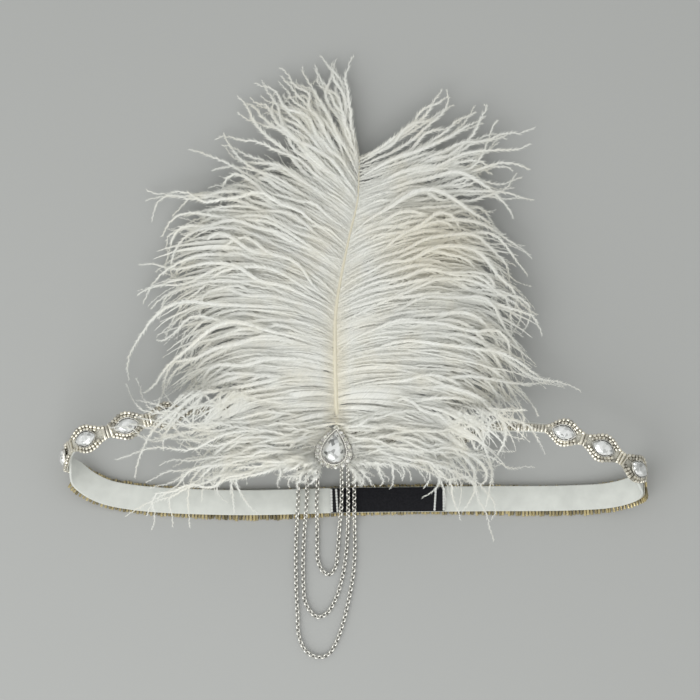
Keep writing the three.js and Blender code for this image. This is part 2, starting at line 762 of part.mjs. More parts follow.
const headband = new THREE.Group();
const shaftLine = shaftCurve();
headband.add(ribbon(), label(), frontTrim(), backTrim(), ...marquiseStones());
headband.add(jewelSetting(shaftLine), pearStone());
headband.add(piece('shaft', shaftTube(shaftLine), finishes.quill));
const clear = keptClear(shaftLine);
headband.add(...vane('left', shaftLine, clear), ...vane('right', shaftLine, clear));
headband.add(...chains());

export default headband;
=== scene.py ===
"""A flapper feather headband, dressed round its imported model.

The band lies collapsed on a table: its front rises over the jewel and the plume, its back lies flat.
Lengths are in metres, X runs to the right, Y towards the plume's tip and Z up from the table.
"""

import json
import math

import bpy
import numpy as np
from bpy.props import FloatProperty, FloatVectorProperty, IntProperty, PointerProperty
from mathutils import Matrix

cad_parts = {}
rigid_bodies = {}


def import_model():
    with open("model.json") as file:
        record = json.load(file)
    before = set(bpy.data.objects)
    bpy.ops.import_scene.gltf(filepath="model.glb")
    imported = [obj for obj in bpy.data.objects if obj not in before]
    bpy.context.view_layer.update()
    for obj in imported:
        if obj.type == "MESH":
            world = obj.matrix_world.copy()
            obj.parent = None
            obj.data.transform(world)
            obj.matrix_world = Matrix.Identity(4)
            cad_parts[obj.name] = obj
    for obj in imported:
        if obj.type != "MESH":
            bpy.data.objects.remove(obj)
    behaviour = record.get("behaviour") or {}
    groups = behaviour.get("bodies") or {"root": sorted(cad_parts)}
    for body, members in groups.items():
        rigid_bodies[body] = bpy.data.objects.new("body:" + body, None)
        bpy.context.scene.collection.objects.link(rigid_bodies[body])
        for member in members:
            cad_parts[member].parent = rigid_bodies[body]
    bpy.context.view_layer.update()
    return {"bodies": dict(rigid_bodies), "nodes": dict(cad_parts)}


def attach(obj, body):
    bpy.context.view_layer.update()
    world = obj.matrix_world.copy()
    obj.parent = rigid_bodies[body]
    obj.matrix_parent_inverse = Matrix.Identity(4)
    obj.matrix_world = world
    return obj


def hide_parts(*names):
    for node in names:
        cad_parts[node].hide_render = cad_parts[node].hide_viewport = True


bl_info = {
    "name": "Flapper Feather Headband",
    "version": (1, 0, 0),
    "blender": (4, 5, 0),
    "location": "View3D > Sidebar > Headband",
    "description": "Builds a beaded ribbon headband with a jewel, chain swags and a feather plume",
    "category": "Add Mesh",
}

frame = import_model()
BODY = next(iter(frame["bodies"]))
MM = 0.001

# The band's middle line, as shares of half its span, its lean and its lift, from the back's middle round
# by the right-hand end, the front and the left-hand end. The row of the jewel is counted from zero.
BAND_TABLE = np.array([
    (0, 0, 0), (0.435, 0.014, 0), (0.754, 0.023, 0), (0.899, 0.056, 0.072), (0.978, 0.135, 0.269),
    (1, 0.233, 0.562), (0.961, 0.384, 0.855), (0.848, 0.6, 0.993), (0.704, 0.772, 0.993),
    (0.543, 0.814, 0.924), (0.225, 0.749, 0.786), (-0.07, 0.735, 0.717), (-0.228, 0.86, 0.745),
    (-0.384, 0.975, 0.814), (-0.522, 1, 0.89), (-0.649, 0.944, 0.952), (-0.783, 0.844, 1.003),
    (-0.906, 0.716, 0.976), (-0.978, 0.616, 0.786), (-1, 0.477, 0.493), (-0.971, 0.267, 0.2),
    (-0.899, 0.112, 0.052), (-0.783, 0.028, 0), (-0.435, -0.028, 0),
])
JEWEL_ROW = 11

# Dense points that a smooth line has between two of its given points.
LINE_SAMPLES = 100

# Stations of the front's stones, in stone pitches from the jewel, positive to the right.
STONE_PLACES = np.array([-7.18, -6.18, -5.18, -4.18, -2.05, -1.05, 1.05, 2.05, 3.05, 5.54, 6.54, 7.54])
TRIM_ENDS = (-7.75, 8.05)

# How far the ribbon takes to narrow at each end of the front trim.
RIBBON_TAPER = 12 * MM

# The front trim's net and beads together, on which the jewel's plate sits, and the net alone.
TRIM_DEPTH = 2 * MM
NET_DEPTH = 0.5 * MM

# Rows of seed beads along the front trim's edges: how far each lies inside the edge, its beads' size and
# their pitch as shares of the outer row's, and the least swelling of the outline that it runs along.
SEED_ROWS = ((0.85 * MM, 1.0, 1.0, 0.02), (2.45 * MM, 0.86, 0.9, 0.3))

# Rows of bugle beads under the back, how far they are shifted across it, and how far and over what
# distance their line sways.
BACK_ROWS = 3
BACK_SHIFT = 0.7 * MM
BACK_SWAY = (0.6 * MM, 23 * MM)

# Rows of stitches across the label: which end of it, how far from there, and the slant.
STITCH_ROWS = ((0, 0.4 * MM, 0.0), (0, 2.9 * MM, -0.04), (1, -4.4 * MM, 0.07), (1, -0.4 * MM, 0.0))
STITCHES = 8

# The stones' outlines: the power that makes the pointed oval's tips, and the largest value of the
# teardrop's sin(t) sin(t/2).
MARQUISE_POWER = 2.4
TEARDROP_PEAK = 0.77

# Tiers of the stones from the bottom up: the height and the outline's share. The pear's heights are in
# metres, the others shares of the stone's height.
MARQUISE_TIERS = [(0, 0.82), (0.42, 1.0), (0.62, 0.9), (0.86, 0.7), (1.0, 0.5)]
BRILLIANT_TIERS = [(0, 0.7), (0.45, 1.0), (0.8, 0.82), (1.0, 0.56)]
PEAR_TIERS = [(0, 0.7), (1.6 * MM, 1.0), (2.6 * MM, 0.93), (3.7 * MM, 0.78), (4.6 * MM, 0.55)]

# The jewel: its plate's depth, the depth of the scallops in its edge, the size of a halo stone, and the
# plate's tone on the scale of its silver finish, low for painted shade in its recess round the stones.
PLATE_DEPTH = 3.2 * MM
SCALLOP = 0.55 * MM
HALO_SIZE = (2.2 * MM, 2.2 * MM, 1.3 * MM)
PLATE_SHADE_TONE = 0.2

# A front stone's setting: how far the stone lies above the net's underside, how much larger its cup is, the
# cup's rim as width and depth and its height on the stone, the size of a prong, how far its foot lies
# below, and where the prongs stand along the stone.
STONE_LIFT = 0.8 * MM
CUP_ROOM = 0.7 * MM
CUP_RIM = (0.6 * MM, 1.3 * MM)
CUP_LIFT = 0.7 * MM
PRONG_SIZE = (0.45 * MM, 0.45 * MM, 1.7 * MM)
PRONG_FOOT = 0.4 * MM
PRONG_PLACES = ((-0.28, 1), (0.28, 1), (-0.28, -1), (0.28, -1))

# The bezel round the pear: how much larger it is than the stone, and its two rims' heights on the plate,
# widths and depths.
BEZEL_ROOM = 1.3 * MM
BEZEL_RIMS = ((0.5 * MM, 0.8 * MM, 1.4 * MM), (1.1 * MM, 0.5 * MM, 0.6 * MM))

# The shaft's line beyond its foot: along Y and across X as shares of the plume's length, and its height
# as a share of the foot's.
SHAFT_TABLE = np.array([
    (0, 0, 1), (0.1, -0.004, 1.01), (0.25, -0.007, 1.03), (0.4, -0.006, 0.96), (0.52, 0.01, 0.86),
    (0.71, 0.048, 0.67), (0.83, 0.075, 0.53), (1, 0.082, 0.33),
])

# The plume's barbs on each side at places along the shaft: the share of the shaft's length, of the
# plume's reach, the mean angle from straight ahead, the turn on the way, in degrees, and the crest and
# the tip's height as shares of the foot's height.
BARB_TABLES = {
    "left": np.array([
        (0.02, 0.72, 112, 40, 0.42, 0.3), (0.1, 0.84, 103, 46, 0.36, 0.24), (0.2, 0.92, 97, 54, 0.26, 0.1),
        (0.3, 0.88, 90, 56, 0.2, 0.1), (0.38, 1.0, 84, 52, 0.16, 0.1), (0.48, 0.94, 78, 48, 0.14, 0.1),
        (0.57, 0.93, 78, 40, 0.12, 0.1), (0.67, 0.79, 70, 30, 0.12, 0.1), (0.77, 0.72, 60, 16, 0.1, 0.08),
        (0.87, 0.63, 42, 6, 0.1, 0.08), (0.95, 0.54, 24, 0, 0.08, 0.06), (1, 0.45, 9, -6, 0.08, 0.06),
    ]),
    "right": np.array([
        (0.02, 0.86, 110, 40, 0.42, 0.3), (0.1, 1.0, 99, 46, 0.36, 0.24), (0.2, 1.07, 96, 52, 0.26, 0.34),
        (0.3, 1.08, 91, 54, 0.2, 0.34), (0.38, 1.03, 88, 52, 0.16, 0.34), (0.48, 0.96, 86, 50, 0.14, 0.34),
        (0.57, 0.89, 82, 44, 0.12, 0.34), (0.67, 0.81, 82, 38, 0.12, 0.34), (0.77, 0.76, 82, 26, 0.1, 0.26),
        (0.87, 0.72, 77, 8, 0.1, 0.26), (0.95, 0.6, 68, -12, 0.08, 0.2), (1, 0.49, 54, -26, 0.08, 0.2),
    ]),
}

# The barbs beside the jewel: where the first and the last come out of its side, as shares of half a turn
# from its point, their reach as a share of the plume's, and their mean curl in degrees.
FOOT_BARBS = {"left": (0.14, 0.83, 0.94, 18), "right": (0.14, 0.82, 0.84, 40)}

# The chain swags: the stations of their two ends on the band, in millimetres from the jewel, and their
# routes over the table between them, in millimetres.
SWAGS = {
    "chain_inner": (-8.5, 3, [
        (-18.4, 18, 14), (-18.2, 8, 6.5), (-18.6, 0, 6.5), (-18.6, -6, 6.5), (-18.4, -14, 1.5),
        (-18.4, -22, 1.5), (-18, -29, 1.5), (-15.6, -34, 1.5), (-12.6, -35.4, 1.5), (-9.8, -32, 1.5),
        (-8.8, -25, 1.5), (-8, -14.5, 1.5), (-7.2, -6.5, 6.5), (-6.8, 1, 6.5), (-6.8, 8, 6.5),
        (-6.9, 17, 14),
    ]),
    "chain_middle": (-14.5, 6.4, [
        (-23.6, 18, 14), (-23.2, 8, 6.5), (-23.3, 0, 6.5), (-23.8, -6, 6.5), (-24.4, -14, 1.5),
        (-25, -26, 1.5), (-25, -38, 1.5), (-24.2, -48, 1.5), (-21.6, -53, 1.5), (-18, -55.6, 1.5),
        (-14, -54, 1.5), (-10.6, -49, 1.5), (-7.6, -41, 1.5), (-5.6, -32, 1.5), (-4.4, -22, 1.5),
        (-4, -14, 1.5), (-3.8, -6, 6.5), (-3.7, 0, 6.5), (-3.8, 8, 6.5), (-3.8, 17, 14),
    ]),
    "chain_outer": (-19.5, 9.8, [
        (-27.6, 19, 15), (-27.4, 8, 6.5), (-27.5, 0, 6.5), (-27.8, -6, 6.5), (-28.2, -14, 1.5),
        (-28.6, -26, 1.5), (-28.4, -40, 1.5), (-27.8, -54, 1.5), (-27, -65, 1.5), (-23.6, -72, 1.5),
        (-18.4, -74.6, 1.5), (-13.4, -73.6, 1.5), (-9.4, -67.6, 1.5), (-6, -58, 1.5), (-3.4, -47, 1.5),
        (-1.4, -36, 1.5), (-0.6, -24, 1.5), (-0.7, -14, 1.5), (-0.8, -6, 6.5), (-0.8, 0, 6.5),
        (-0.8, 8, 6.5), (-0.8, 17, 14),
    ]),
}


def length_property(name, description, default):
    """A length in metres, shown in the scene's unit."""
    return FloatProperty(
        name=name, description=description, default=default, min=0.0, unit="LENGTH", precision=5
    )


def colour_property(name, description, default):
    """A colour in linear red, green and blue."""
    return FloatVectorProperty(
        name=name, description=description, default=default, subtype="COLOR", min=0.0, max=1.0
    )


class HEADBAND_PG_band(bpy.types.PropertyGroup):
    """Sizes of the ribbon, the label and the trims"""

    half_span: length_property("Half span", "Half the collapsed band's span", 135 * MM)
    lean: length_property("Lean", "How far the front lies from the back, seen from above", 43 * MM)
    lift: length_property("Lift", "How far the front rises above the back", 29 * MM)
    ribbon_width: length_property("Ribbon width", "Width of the ribbon", 12 * MM)
    ribbon_front: length_property("Front ribbon width", "Width of the ribbon under the front trim", 4.6 * MM)
    ribbon_thickness: length_property("Ribbon thickness", "Thickness of the ribbon", 1.2 * MM)
    gap: length_property("Gap", "Space left between neighbouring pieces", 0.3 * MM)
    label_length: length_property("Label length", "Length of the woven label", 54 * MM)
    label_width: length_property("Label width", "Width of the woven label", 11.6 * MM)
    label_shift: length_property("Label shift", "How far right the label's middle sits", 15 * MM)
    stone_pitch: length_property("Stone pitch", "Distance between two stones of a run", 19.5 * MM)
    trim_wide: length_property("Trim width", "Width of the front trim at a stone", 14 * MM)
    trim_joint: length_property("Joint width", "Width of the front trim between two stones", 6.6 * MM)
    trim_bar: length_property("Bar width", "Width of the front trim between two runs", 4 * MM)
    back_width: length_property("Back trim width", "Width of the trim under the back", 14.8 * MM)
    back_thickness: length_property("Back trim depth", "Thickness of the trim under the back", 1.8 * MM)


class HEADBAND_PG_beads(bpy.types.PropertyGroup):
    """Sizes of the beads"""

    seed: length_property("Seed bead", "Diameter of a seed bead", 1.62 * MM)
    seed_pitch: length_property("Seed pitch", "Distance between two seed beads of a row", 1.8 * MM)
    bugle: length_property("Bugle bead", "Diameter of a bugle bead", 1.4 * MM)
    bugle_pitch: length_property("Bugle pitch", "Distance between two bugle beads side by side", 1.6 * MM)


class HEADBAND_PG_stones(bpy.types.PropertyGroup):
    """Sizes of the stones and the jewel"""

    length: length_property("Stone length", "Length of a pointed oval stone", 11 * MM)
    width: length_property("Stone width", "Width of a pointed oval stone", 6.8 * MM)
    height: length_property("Stone height", "Height of a pointed oval stone", 3 * MM)
    jewel_length: length_property("Jewel length", "Length of the pear-shaped setting", 21 * MM)
    jewel_width: length_property("Jewel width", "Width of the pear-shaped setting", 18.6 * MM)
    jewel_drop: length_property("Jewel drop", "How far the jewel sits below the band's middle", 6 * MM)
    pear_length: length_property("Pear length", "Length of the pear-shaped stone", 15.4 * MM)
    pear_width: length_property("Pear width", "Width of the pear-shaped stone", 10.8 * MM)
    halo_stones: IntProperty(name="Halo stones", description="Small stones round it", default=17, min=3)


class HEADBAND_PG_plume(bpy.types.PropertyGroup):
    """Sizes of the plume"""

    length: length_property("Plume length", "Length of the shaft beyond the jewel", 127 * MM)
    reach: length_property("Reach", "Length of the longest barbs", 111 * MM)
    shaft_foot: length_property("Shaft foot", "Diameter of the shaft at its foot", 2.2 * MM)
    shaft_tip: length_property("Shaft tip", "Diameter of the shaft at its tip", 0.8 * MM)
    web_barbs: IntProperty(name="Matted barbs", description="Broad barbs of each side", default=190, min=8)
    fill_barbs: IntProperty(name="Fill barbs", description="Short barbs of each side", default=280, min=8)
    long_barbs: IntProperty(name="Long barbs", description="Long barbs of each side", default=84, min=8)
    crown_barbs: IntProperty(name="Crown barbs", description="Barbs of a side at the tip", default=20, min=4)
    foot_barbs: IntProperty(name="Foot barbs", description="Barbs of a side at the jewel", default=70, min=8)
    barbule: length_property("Barbule", "Length of a barbule in the middle of a barb", 2.5 * MM)
    barbule_pitch: length_property("Barbule pitch", "Distance between two barbules of a long barb", 0.42 * MM)
    seed: IntProperty(name="Seed", description="Start of the plume's random numbers", default=19, min=0)


class HEADBAND_PG_chains(bpy.types.PropertyGroup):
    """Sizes of the chain links"""

    width: length_property("Link width", "Width of a link", 2.4 * MM)
    length: length_property("Link length", "Length of a link", 2.5 * MM)
    pitch: length_property("Link pitch", "Distance between the middles of two links", 1.5 * MM)
    wire: length_property("Wire", "Diameter of a link's wire", 0.78 * MM)


class HEADBAND_PG_colours(bpy.types.PropertyGroup):
    """Colours of the finishes"""

    satin: colour_property("Satin", "The ribbon's white satin", (0.69, 0.705, 0.67))
    label: colour_property("Label", "The label's black weave", (0.011, 0.011, 0.013))
    thread: colour_property("Thread", "The label's white stitches", (0.82, 0.83, 0.81))
    net: colour_property("Net", "The net under the beads", (0.70, 0.68, 0.60))
    silver: colour_property("Silver", "Jewel setting and chains", (0.80, 0.785, 0.74))
    champagne: colour_property("Champagne", "The front's beads", (0.80, 0.76, 0.66))
    gold: colour_property("Gold", "The back's beads", (0.50, 0.42, 0.23))
    crystal: colour_property("Crystal", "The stones", (0.90, 0.91, 0.90))
    quill: colour_property("Quill", "The feather's shaft", (0.80, 0.75, 0.60))
    down: colour_property("Down", "The feather's barbs", (0.92, 0.92, 0.875))
    cream: colour_property("Cream", "The barbs' creamy patch", (0.91, 0.84, 0.67))
    floor: colour_property("Floor", "The table", (0.458, 0.463, 0.457))


class HEADBAND_PG_stage(bpy.types.PropertyGroup):
    """The camera and the lights"""

    height: length_property("Camera height", "Height of the camera above the table", 3.0)
    view_width: length_property("View width", "Width that the picture shows at the object", 332.2 * MM)
    centre_x: FloatProperty(
        name="Centre X", description="Middle of the picture across", default=-2.85 * MM, unit="LENGTH"
    )
    centre_y: FloatProperty(
        name="Centre Y", description="Middle of the picture upwards", default=71.2 * MM, unit="LENGTH"
    )
    key: FloatProperty(name="Key light", description="Power of the near light", default=6.6, unit="POWER")
    top: FloatProperty(name="Top light", description="Power of the high light", default=2.5, unit="POWER")
    world: FloatProperty(name="Room light", description="Strength of the light from all round", default=0.66)


class HEADBAND_PG_settings(bpy.types.PropertyGroup):
    """All of the headband's settings"""

    band: PointerProperty(type=HEADBAND_PG_band)
    beads: PointerProperty(type=HEADBAND_PG_beads)
    stones: PointerProperty(type=HEADBAND_PG_stones)
    plume: PointerProperty(type=HEADBAND_PG_plume)
    chains: PointerProperty(type=HEADBAND_PG_chains)
    colours: PointerProperty(type=HEADBAND_PG_colours)
    stage: PointerProperty(type=HEADBAND_PG_stage)


def settings():
    """The headband's settings of the scene."""
    return bpy.context.scene.headband


# Lines and frames

def unit(vectors):
    """Vectors divided by their own lengths."""
    return vectors / np.linalg.norm(vectors, axis=-1, keepdims=True)


def even_turns(count):
    """Angles at even steps round a whole turn."""
    return np.arange(count) * 2 * math.pi / count


def circle(sides):
    """The corners of a regular outline of radius one: the cosine and the sine of each even turn."""
    turns = even_turns(sides)
    return np.stack([np.cos(turns), np.sin(turns)], -1)


def run_along(steps):
    """The distance at the end of each step, from zero."""
    return np.concatenate([[0.0], np.cumsum(steps)])


def smooth_line(points, closed=False):
    """A smooth line through points: between two of them a cubic, whose tangents weigh the neighbouring
    chords by the square roots of their lengths. Returns dense points and their distances along it."""
    points = np.asarray(points, float)
    if closed:
        before, after, last = np.roll(points, 1, 0), np.roll(points, -1, 0), np.roll(points, -2, 0)
        start = points
    else:
        wide = np.vstack([2 * points[0] - points[1], points, 2 * points[-1] - points[-2]])
        before, start, after, last = wide[:-3], wide[1:-2], wide[2:-1], wide[3:]
    g0, g1, g2 = (
        np.sqrt(np.linalg.norm(b - a, axis=1))[:, None]
        for a, b in ((before, start), (start, after), (after, last))
    )
    t1 = ((start - before) / g0 - (after - before) / (g0 + g1) + (after - start) / g1) * g1
    t2 = ((after - start) / g1 - (last - start) / (g1 + g2) + (last - after) / g2) * g1
    c2 = -3 * start + 3 * after - 2 * t1 - t2
    c3 = 2 * start - 2 * after + t1 + t2
    t = (np.arange(LINE_SAMPLES) / LINE_SAMPLES)[None, :, None]
    dense = start[:, None] + t1[:, None] * t + c2[:, None] * t**2 + c3[:, None] * t**3
    dense = np.vstack([dense.reshape(-1, 3), points[:1] if closed else points[-1:]])
    return dense, run_along(np.linalg.norm(np.diff(dense, axis=0), axis=1))


def on_line(line, along):
    """The points of a dense line at the distances given."""
    dense, distances = line
    return np.stack([np.interp(along, distances, dense[:, k]) for k in range(3)], -1)


def trim_heights(band):
    """Heights above the ribbon's middle of the trims' undersides, and of the back line above the table."""
    seat = band.ribbon_thickness / 2 + band.gap
    return seat, band.back_thickness + band.gap + band.ribbon_thickness / 2


def band_line():
    """The band's closed line, its length, and where along it the jewel sits. The line's points are the
    table's shares of the half span, the lean and the lift, above the height at which the back rests."""
    band = settings().band
    rest = trim_heights(band)[1]
    scaled = BAND_TABLE * (band.half_span, band.lean, band.lift) + (0, 0, rest)
    line = smooth_line(scaled, closed=True)
    return line, line[1][-1], line[1][JEWEL_ROW * LINE_SAMPLES]


def band_frames(along):
    """Point, ahead, across and out at distances along the band: ahead is the direction over ten
    millimetres, across is +Y less its share along it, and out is across turned onto ahead."""
    line, length, _ = band_line()
    rest = trim_heights(settings().band)[1]

    def place(at):
        point = on_line(line, np.mod(at, length))
        point[:, 2] = np.maximum(point[:, 2], rest)
        return point

    step = 5 * MM
    ahead = unit(place(along + step) - place(along - step))
    across = unit(np.array([0.0, 1.0, 0.0]) - ahead * ahead[:, 1:2])
    return place(along), ahead, across, np.cross(across, ahead)


def front_frames(station):
    """The same by distance from the jewel, positive to the right, with right in the place of ahead."""
    point, ahead, across, out = band_frames(band_line()[2] - np.asarray(station, float))
    return point, -ahead, across, out


def set_out(frames, a, b):
    """Points moved off their frames: a along across and b along out."""
    point, _, across, out = frames
    return point + across * np.asarray(a)[..., None] + out * np.asarray(b)[..., None]


def side_and_up(ahead):
    """The level direction square to each direction ahead, on its right, and the one square to both."""
    side = unit(np.stack([ahead[..., 1], -ahead[..., 0], np.zeros(ahead.shape[:-1])], -1))
    return side, np.cross(side, ahead)


def eased(share):
    """A share held from 0 to 1 and made smooth at both ends: three of its squares less two of its cubes."""
    share = np.clip(share, 0, 1)
    return share * share * (3 - 2 * share)


def shaft_line():
    """The shaft's line: a foot on the trim under the jewel, then the table's points out to its tip.
    Returns the dense line and the distance along it at which the jewel ends."""
    part = settings()
    seat = trim_heights(part.band)[0] + TRIM_DEPTH + part.band.gap + part.plume.shaft_foot / 2
    drop, lead = part.stones.jewel_drop, part.stones.jewel_length / 2
    start, foot = set_out(front_frames([0.0, 0.0]), np.array([-drop, lead - drop]), np.array([seat, seat]))
    along, across, height = SHAFT_TABLE.T
    size = part.plume.length
    beyond = np.stack([foot[0] + across * size, foot[1] + along * size, foot[2] * height], -1)
    return smooth_line(np.vstack([start, beyond])), lead


# Meshes

def grid_faces(rows, columns, wrap_rows=False, wrap_columns=False):
    """Quads between neighbouring points of a grid, and each corner's unwrapped row and column."""
    r, c = np.meshgrid(
        np.arange(rows if wrap_rows else rows - 1),
        np.arange(columns if wrap_columns else columns - 1),
        indexing="ij",
    )
    corners = ((r, c), (r, c + 1), (r + 1, c + 1), (r + 1, c))
    steps = np.stack([np.stack(corner, -1) for corner in corners], 2).reshape(-1, 4, 2)
    return (steps[..., 0] % rows) * columns + steps[..., 1] % columns, steps


def carried(points, side, up, profile):
    """A profile carried along a path: each point plus side by the profile's first number and up by its
    second. The profile is one outline, or one for each place."""
    return points[:, None] + side[:, None] * profile[..., 0:1] + up[:, None] * profile[..., 1:2]


def capped(rows, columns):
    """The two end faces of a grid whose columns wrap."""
    first = np.arange(columns)[None, ::-1]
    return np.concatenate([first, (rows - 1) * columns + np.arange(columns)[None]])


def rounded_slab(half_width, low, high, radius, corner=3):
    """A rectangle with round corners, its corner points on quarter circles of the radius."""
    turns = np.concatenate([np.linspace(k, k + 1, corner + 1) for k in range(4)]) * math.pi / 2
    quadrant = np.repeat(np.arange(4), corner + 1)
    x = np.where((quadrant == 0) | (quadrant == 3), half_width - radius, radius - half_width)
    y = np.where(quadrant < 2, high - radius, low + radius)
    return np.stack([x + radius * np.cos(turns), y + radius * np.sin(turns)], -1)


def above_table(points, least):
    """Points lifted where they would lie lower than a least height above the table."""
    points[..., 2] = np.maximum(points[..., 2], least)
    return points


def repeated(shape, blocks, origins, axes, scales):
    """Copies of a small shape: origin plus the three axes weighted by the shape's scaled points."""
    scaled = shape[None] * scales[:, None, :]
    points = origins[:, None, :] + np.einsum("nkj,nji->nki", scaled, axes)
    count = np.arange(len(origins))[:, None, None] * len(shape)
    return points.reshape(-1, 3), [(block[None] + count).reshape(-1, block.shape[1]) for block in blocks]


def enclosed(points, blocks):
    """Volume inside a closed mesh: a sixth of the sum of its triangles' triple products."""
    total = 0.0
    for block in blocks:
        for k in range(1, block.shape[1] - 1):
            a, b, c = points[block[:, 0]], points[block[:, k]], points[block[:, k + 1]]
            total += np.einsum("ij,ij->", a, np.cross(b, c)) / 6
    return total


def new_piece(name, points, blocks, material, slot, nodes, tone=None, uv=None, sharp=40.0, smooth=True):
    """Makes a piece from points and blocks of faces, which are turned to face outwards, and sets its
    tone for each point, its UV for each corner, its material and what it replaces."""
    if len(points) == 0 or not np.all(np.isfinite(points)):
        raise ValueError(f"{name} has no points, or points that aren't numbers")
    blocks = [np.asarray(block) for block in blocks]
    if enclosed(points - points.mean(0), blocks) < 0:
        blocks = [block[:, ::-1] for block in blocks]
        uv = uv[:, ::-1] if uv is not None else None
    corners = np.concatenate([block.ravel() for block in blocks])
    sizes = np.concatenate([np.full(len(block), block.shape[1]) for block in blocks])
    mesh = bpy.data.meshes.new(name)
    mesh.vertices.add(len(points))
    mesh.vertices.foreach_set("co", points.astype(np.float32).ravel())
    mesh.loops.add(len(corners))
    mesh.loops.foreach_set("vertex_index", corners.astype(np.int32))
    mesh.polygons.add(len(sizes))
    mesh.polygons.foreach_set("loop_start", np.concatenate([[0], np.cumsum(sizes)[:-1]]).astype(np.int32))
    mesh.polygons.foreach_set("use_smooth", np.full(len(sizes), smooth))
    mesh.update(calc_edges=True)
    if uv is not None:
        flat = np.zeros((len(corners), 2), np.float32)
        flat[: uv.shape[0] * uv.shape[1]] = uv.reshape(-1, 2)
        mesh.uv_layers.new(name="UVMap").data.foreach_set("uv", flat.ravel())
    if tone is not None:
        mesh.attributes.new("tone", "FLOAT", "POINT").data.foreach_set("value", tone.astype(np.float32))
    if smooth and sharp:
        mesh.set_sharp_from_angle(angle=math.radians(sharp))
    if mesh.validate():
        raise ValueError(f"{name} had faces that Blender mended")
    mesh.materials.append(material)
    piece = bpy.data.objects.new(name, mesh)
    bpy.context.scene.collection.objects.link(piece)
    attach(piece, BODY)
    if nodes:
        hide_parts(*nodes)
    return piece


# Finishes

class Finish:
    """A material with one Principled shader, and short ways to add and join its nodes."""

    def __init__(self, name, base, **values):
        self.material = bpy.data.materials.get(name)
        self.made = self.material is None
        if self.made:
            self.material = bpy.data.materials.new(name)
            self.material.use_nodes = True
            self.tree = self.material.node_tree
            self.shader = self.tree.nodes["Principled BSDF"]
            self.shader.inputs["Base Color"].default_value = (*base, 1)
            for key, value in values.items():
                socket = key.replace("_", " ").title().replace("Ior", "IOR")
                self.shader.inputs[socket].default_value = value

    def add(self, kind, **values):
        """Adds a node and sets its properties and its inputs."""
        node = self.tree.nodes.new(f"ShaderNode{kind}")
        for key, value in values.items():
            if hasattr(node, key):
                setattr(node, key, value)
            else:
                node.inputs[key.replace("_", " ")].default_value = value
        return node

    def join(self, start, end):
        """Joins an output to an input."""
        self.tree.links.new(start, end)

    def place(self, scale, uv=False):
        """Coordinates on the piece, scaled: its UV map where a pattern follows the surface."""
        source = self.add("TexCoord").outputs["UV" if uv else "Object"]
        mapping = self.add("Mapping")
        mapping.inputs["Scale"].default_value = scale if hasattr(scale, "__len__") else (scale,) * 3
        self.join(source, mapping.inputs["Vector"])
        return mapping.outputs["Vector"]

    def noise(self, scale, detail=3.0, uv=False):
        """Soft random values from 0 to 1."""
        node = self.add("TexNoise")
        node.inputs["Scale"].default_value = 1.0
        node.inputs["Detail"].default_value = detail
        self.join(self.place(scale, uv), node.inputs["Vector"])
        return node.outputs["Fac"]

    def tone(self):
        """The piece's own tone from 0 to 1."""
        return self.add("Attribute", attribute_name="tone").outputs["Fac"]

    def ramp(self, value, stops):
        """A colour that changes with a value through the stops given."""
        node = self.add("ValToRGB")
        elements = node.color_ramp.elements
        while len(elements) < len(stops):
            elements.new(0.5)
        for element, (at, colour) in zip(elements, stops):
            element.position = at
            element.color = (*colour, 1)
        self.join(value, node.inputs["Fac"])
        return node.outputs["Color"]

    def mix(self, share, one, other):
        """Two colours mixed, each a colour or an output, by a share that is a number or an output."""
        node = self.add("Mix", data_type="RGBA")
        for socket, value in ((node.inputs[0], share), (node.inputs[6], one), (node.inputs[7], other)):
            if isinstance(value, bpy.types.NodeSocket):
                self.join(value, socket)
            elif hasattr(value, "__len__"):
                socket.default_value = (*value, 1)
            else:
                socket.default_value = value
        return node.outputs[2]

    def math(self, operation, one, other=0.0):
        """Two numbers or outputs put together."""
        node = self.add("Math", operation=operation)
        for socket, value in zip(node.inputs, (one, other)):
            if isinstance(value, bpy.types.NodeSocket):
                self.join(value, socket)
            else:
                socket.default_value = value
        return node.outputs[0]

    def span(self, value, low, high, new_low, new_high):
        """A value carried from one range to another and held within it."""
        node = self.add("MapRange")
        for key, number in zip(("From Min", "From Max", "To Min", "To Max"), (low, high, new_low, new_high)):
            node.inputs[key].default_value = number
        self.join(value, node.inputs["Value"])
        return node.outputs["Result"]

    def bump(self, height, strength, distance):
        """Relief on the surface from a height."""
        node = self.add("Bump")
        node.inputs["Strength"].default_value = strength
        node.inputs["Distance"].default_value = distance
        self.join(height, node.inputs["Height"])
        self.join(node.outputs["Normal"], self.shader.inputs["Normal"])

    def colour(self, output):
        """Sets the base colour."""
        self.join(output, self.shader.inputs["Base Color"])

    def rough(self, output):
        """Sets the roughness."""
        self.join(output, self.shader.inputs["Roughness"])


def shade(colour, factor):
    """A colour made darker or brighter."""
    return tuple(min(1.0, max(0.0, c * factor)) for c in colour)


def satin_finish():
    """White ribbon satin: fine ribs across the ribbon, a soft sheen and slight soiling."""
    base = settings().colours.satin
    finish = Finish("white ribbon satin", base, roughness=0.52, sheen_weight=0.15, specular_ior_level=0.35)
    if finish.made:
        ribs = finish.add("TexWave", wave_type="BANDS", bands_direction="X", Scale=1.0)
        finish.join(finish.place((900.0, 900.0, 1.0), uv=True), ribs.inputs["Vector"])
        cloud = finish.noise(140.0)
        finish.colour(finish.mix(finish.span(cloud, 0.35, 0.7, 0, 1), shade(base, 0.93), shade(base, 1.05)))
        fine = finish.noise(2600.0, 2.0)
        relief = finish.math("ADD", finish.math("MULTIPLY", ribs.outputs["Fac"], 0.6), fine)
        finish.bump(relief, 0.25, 0.1 * MM)
    return finish.material


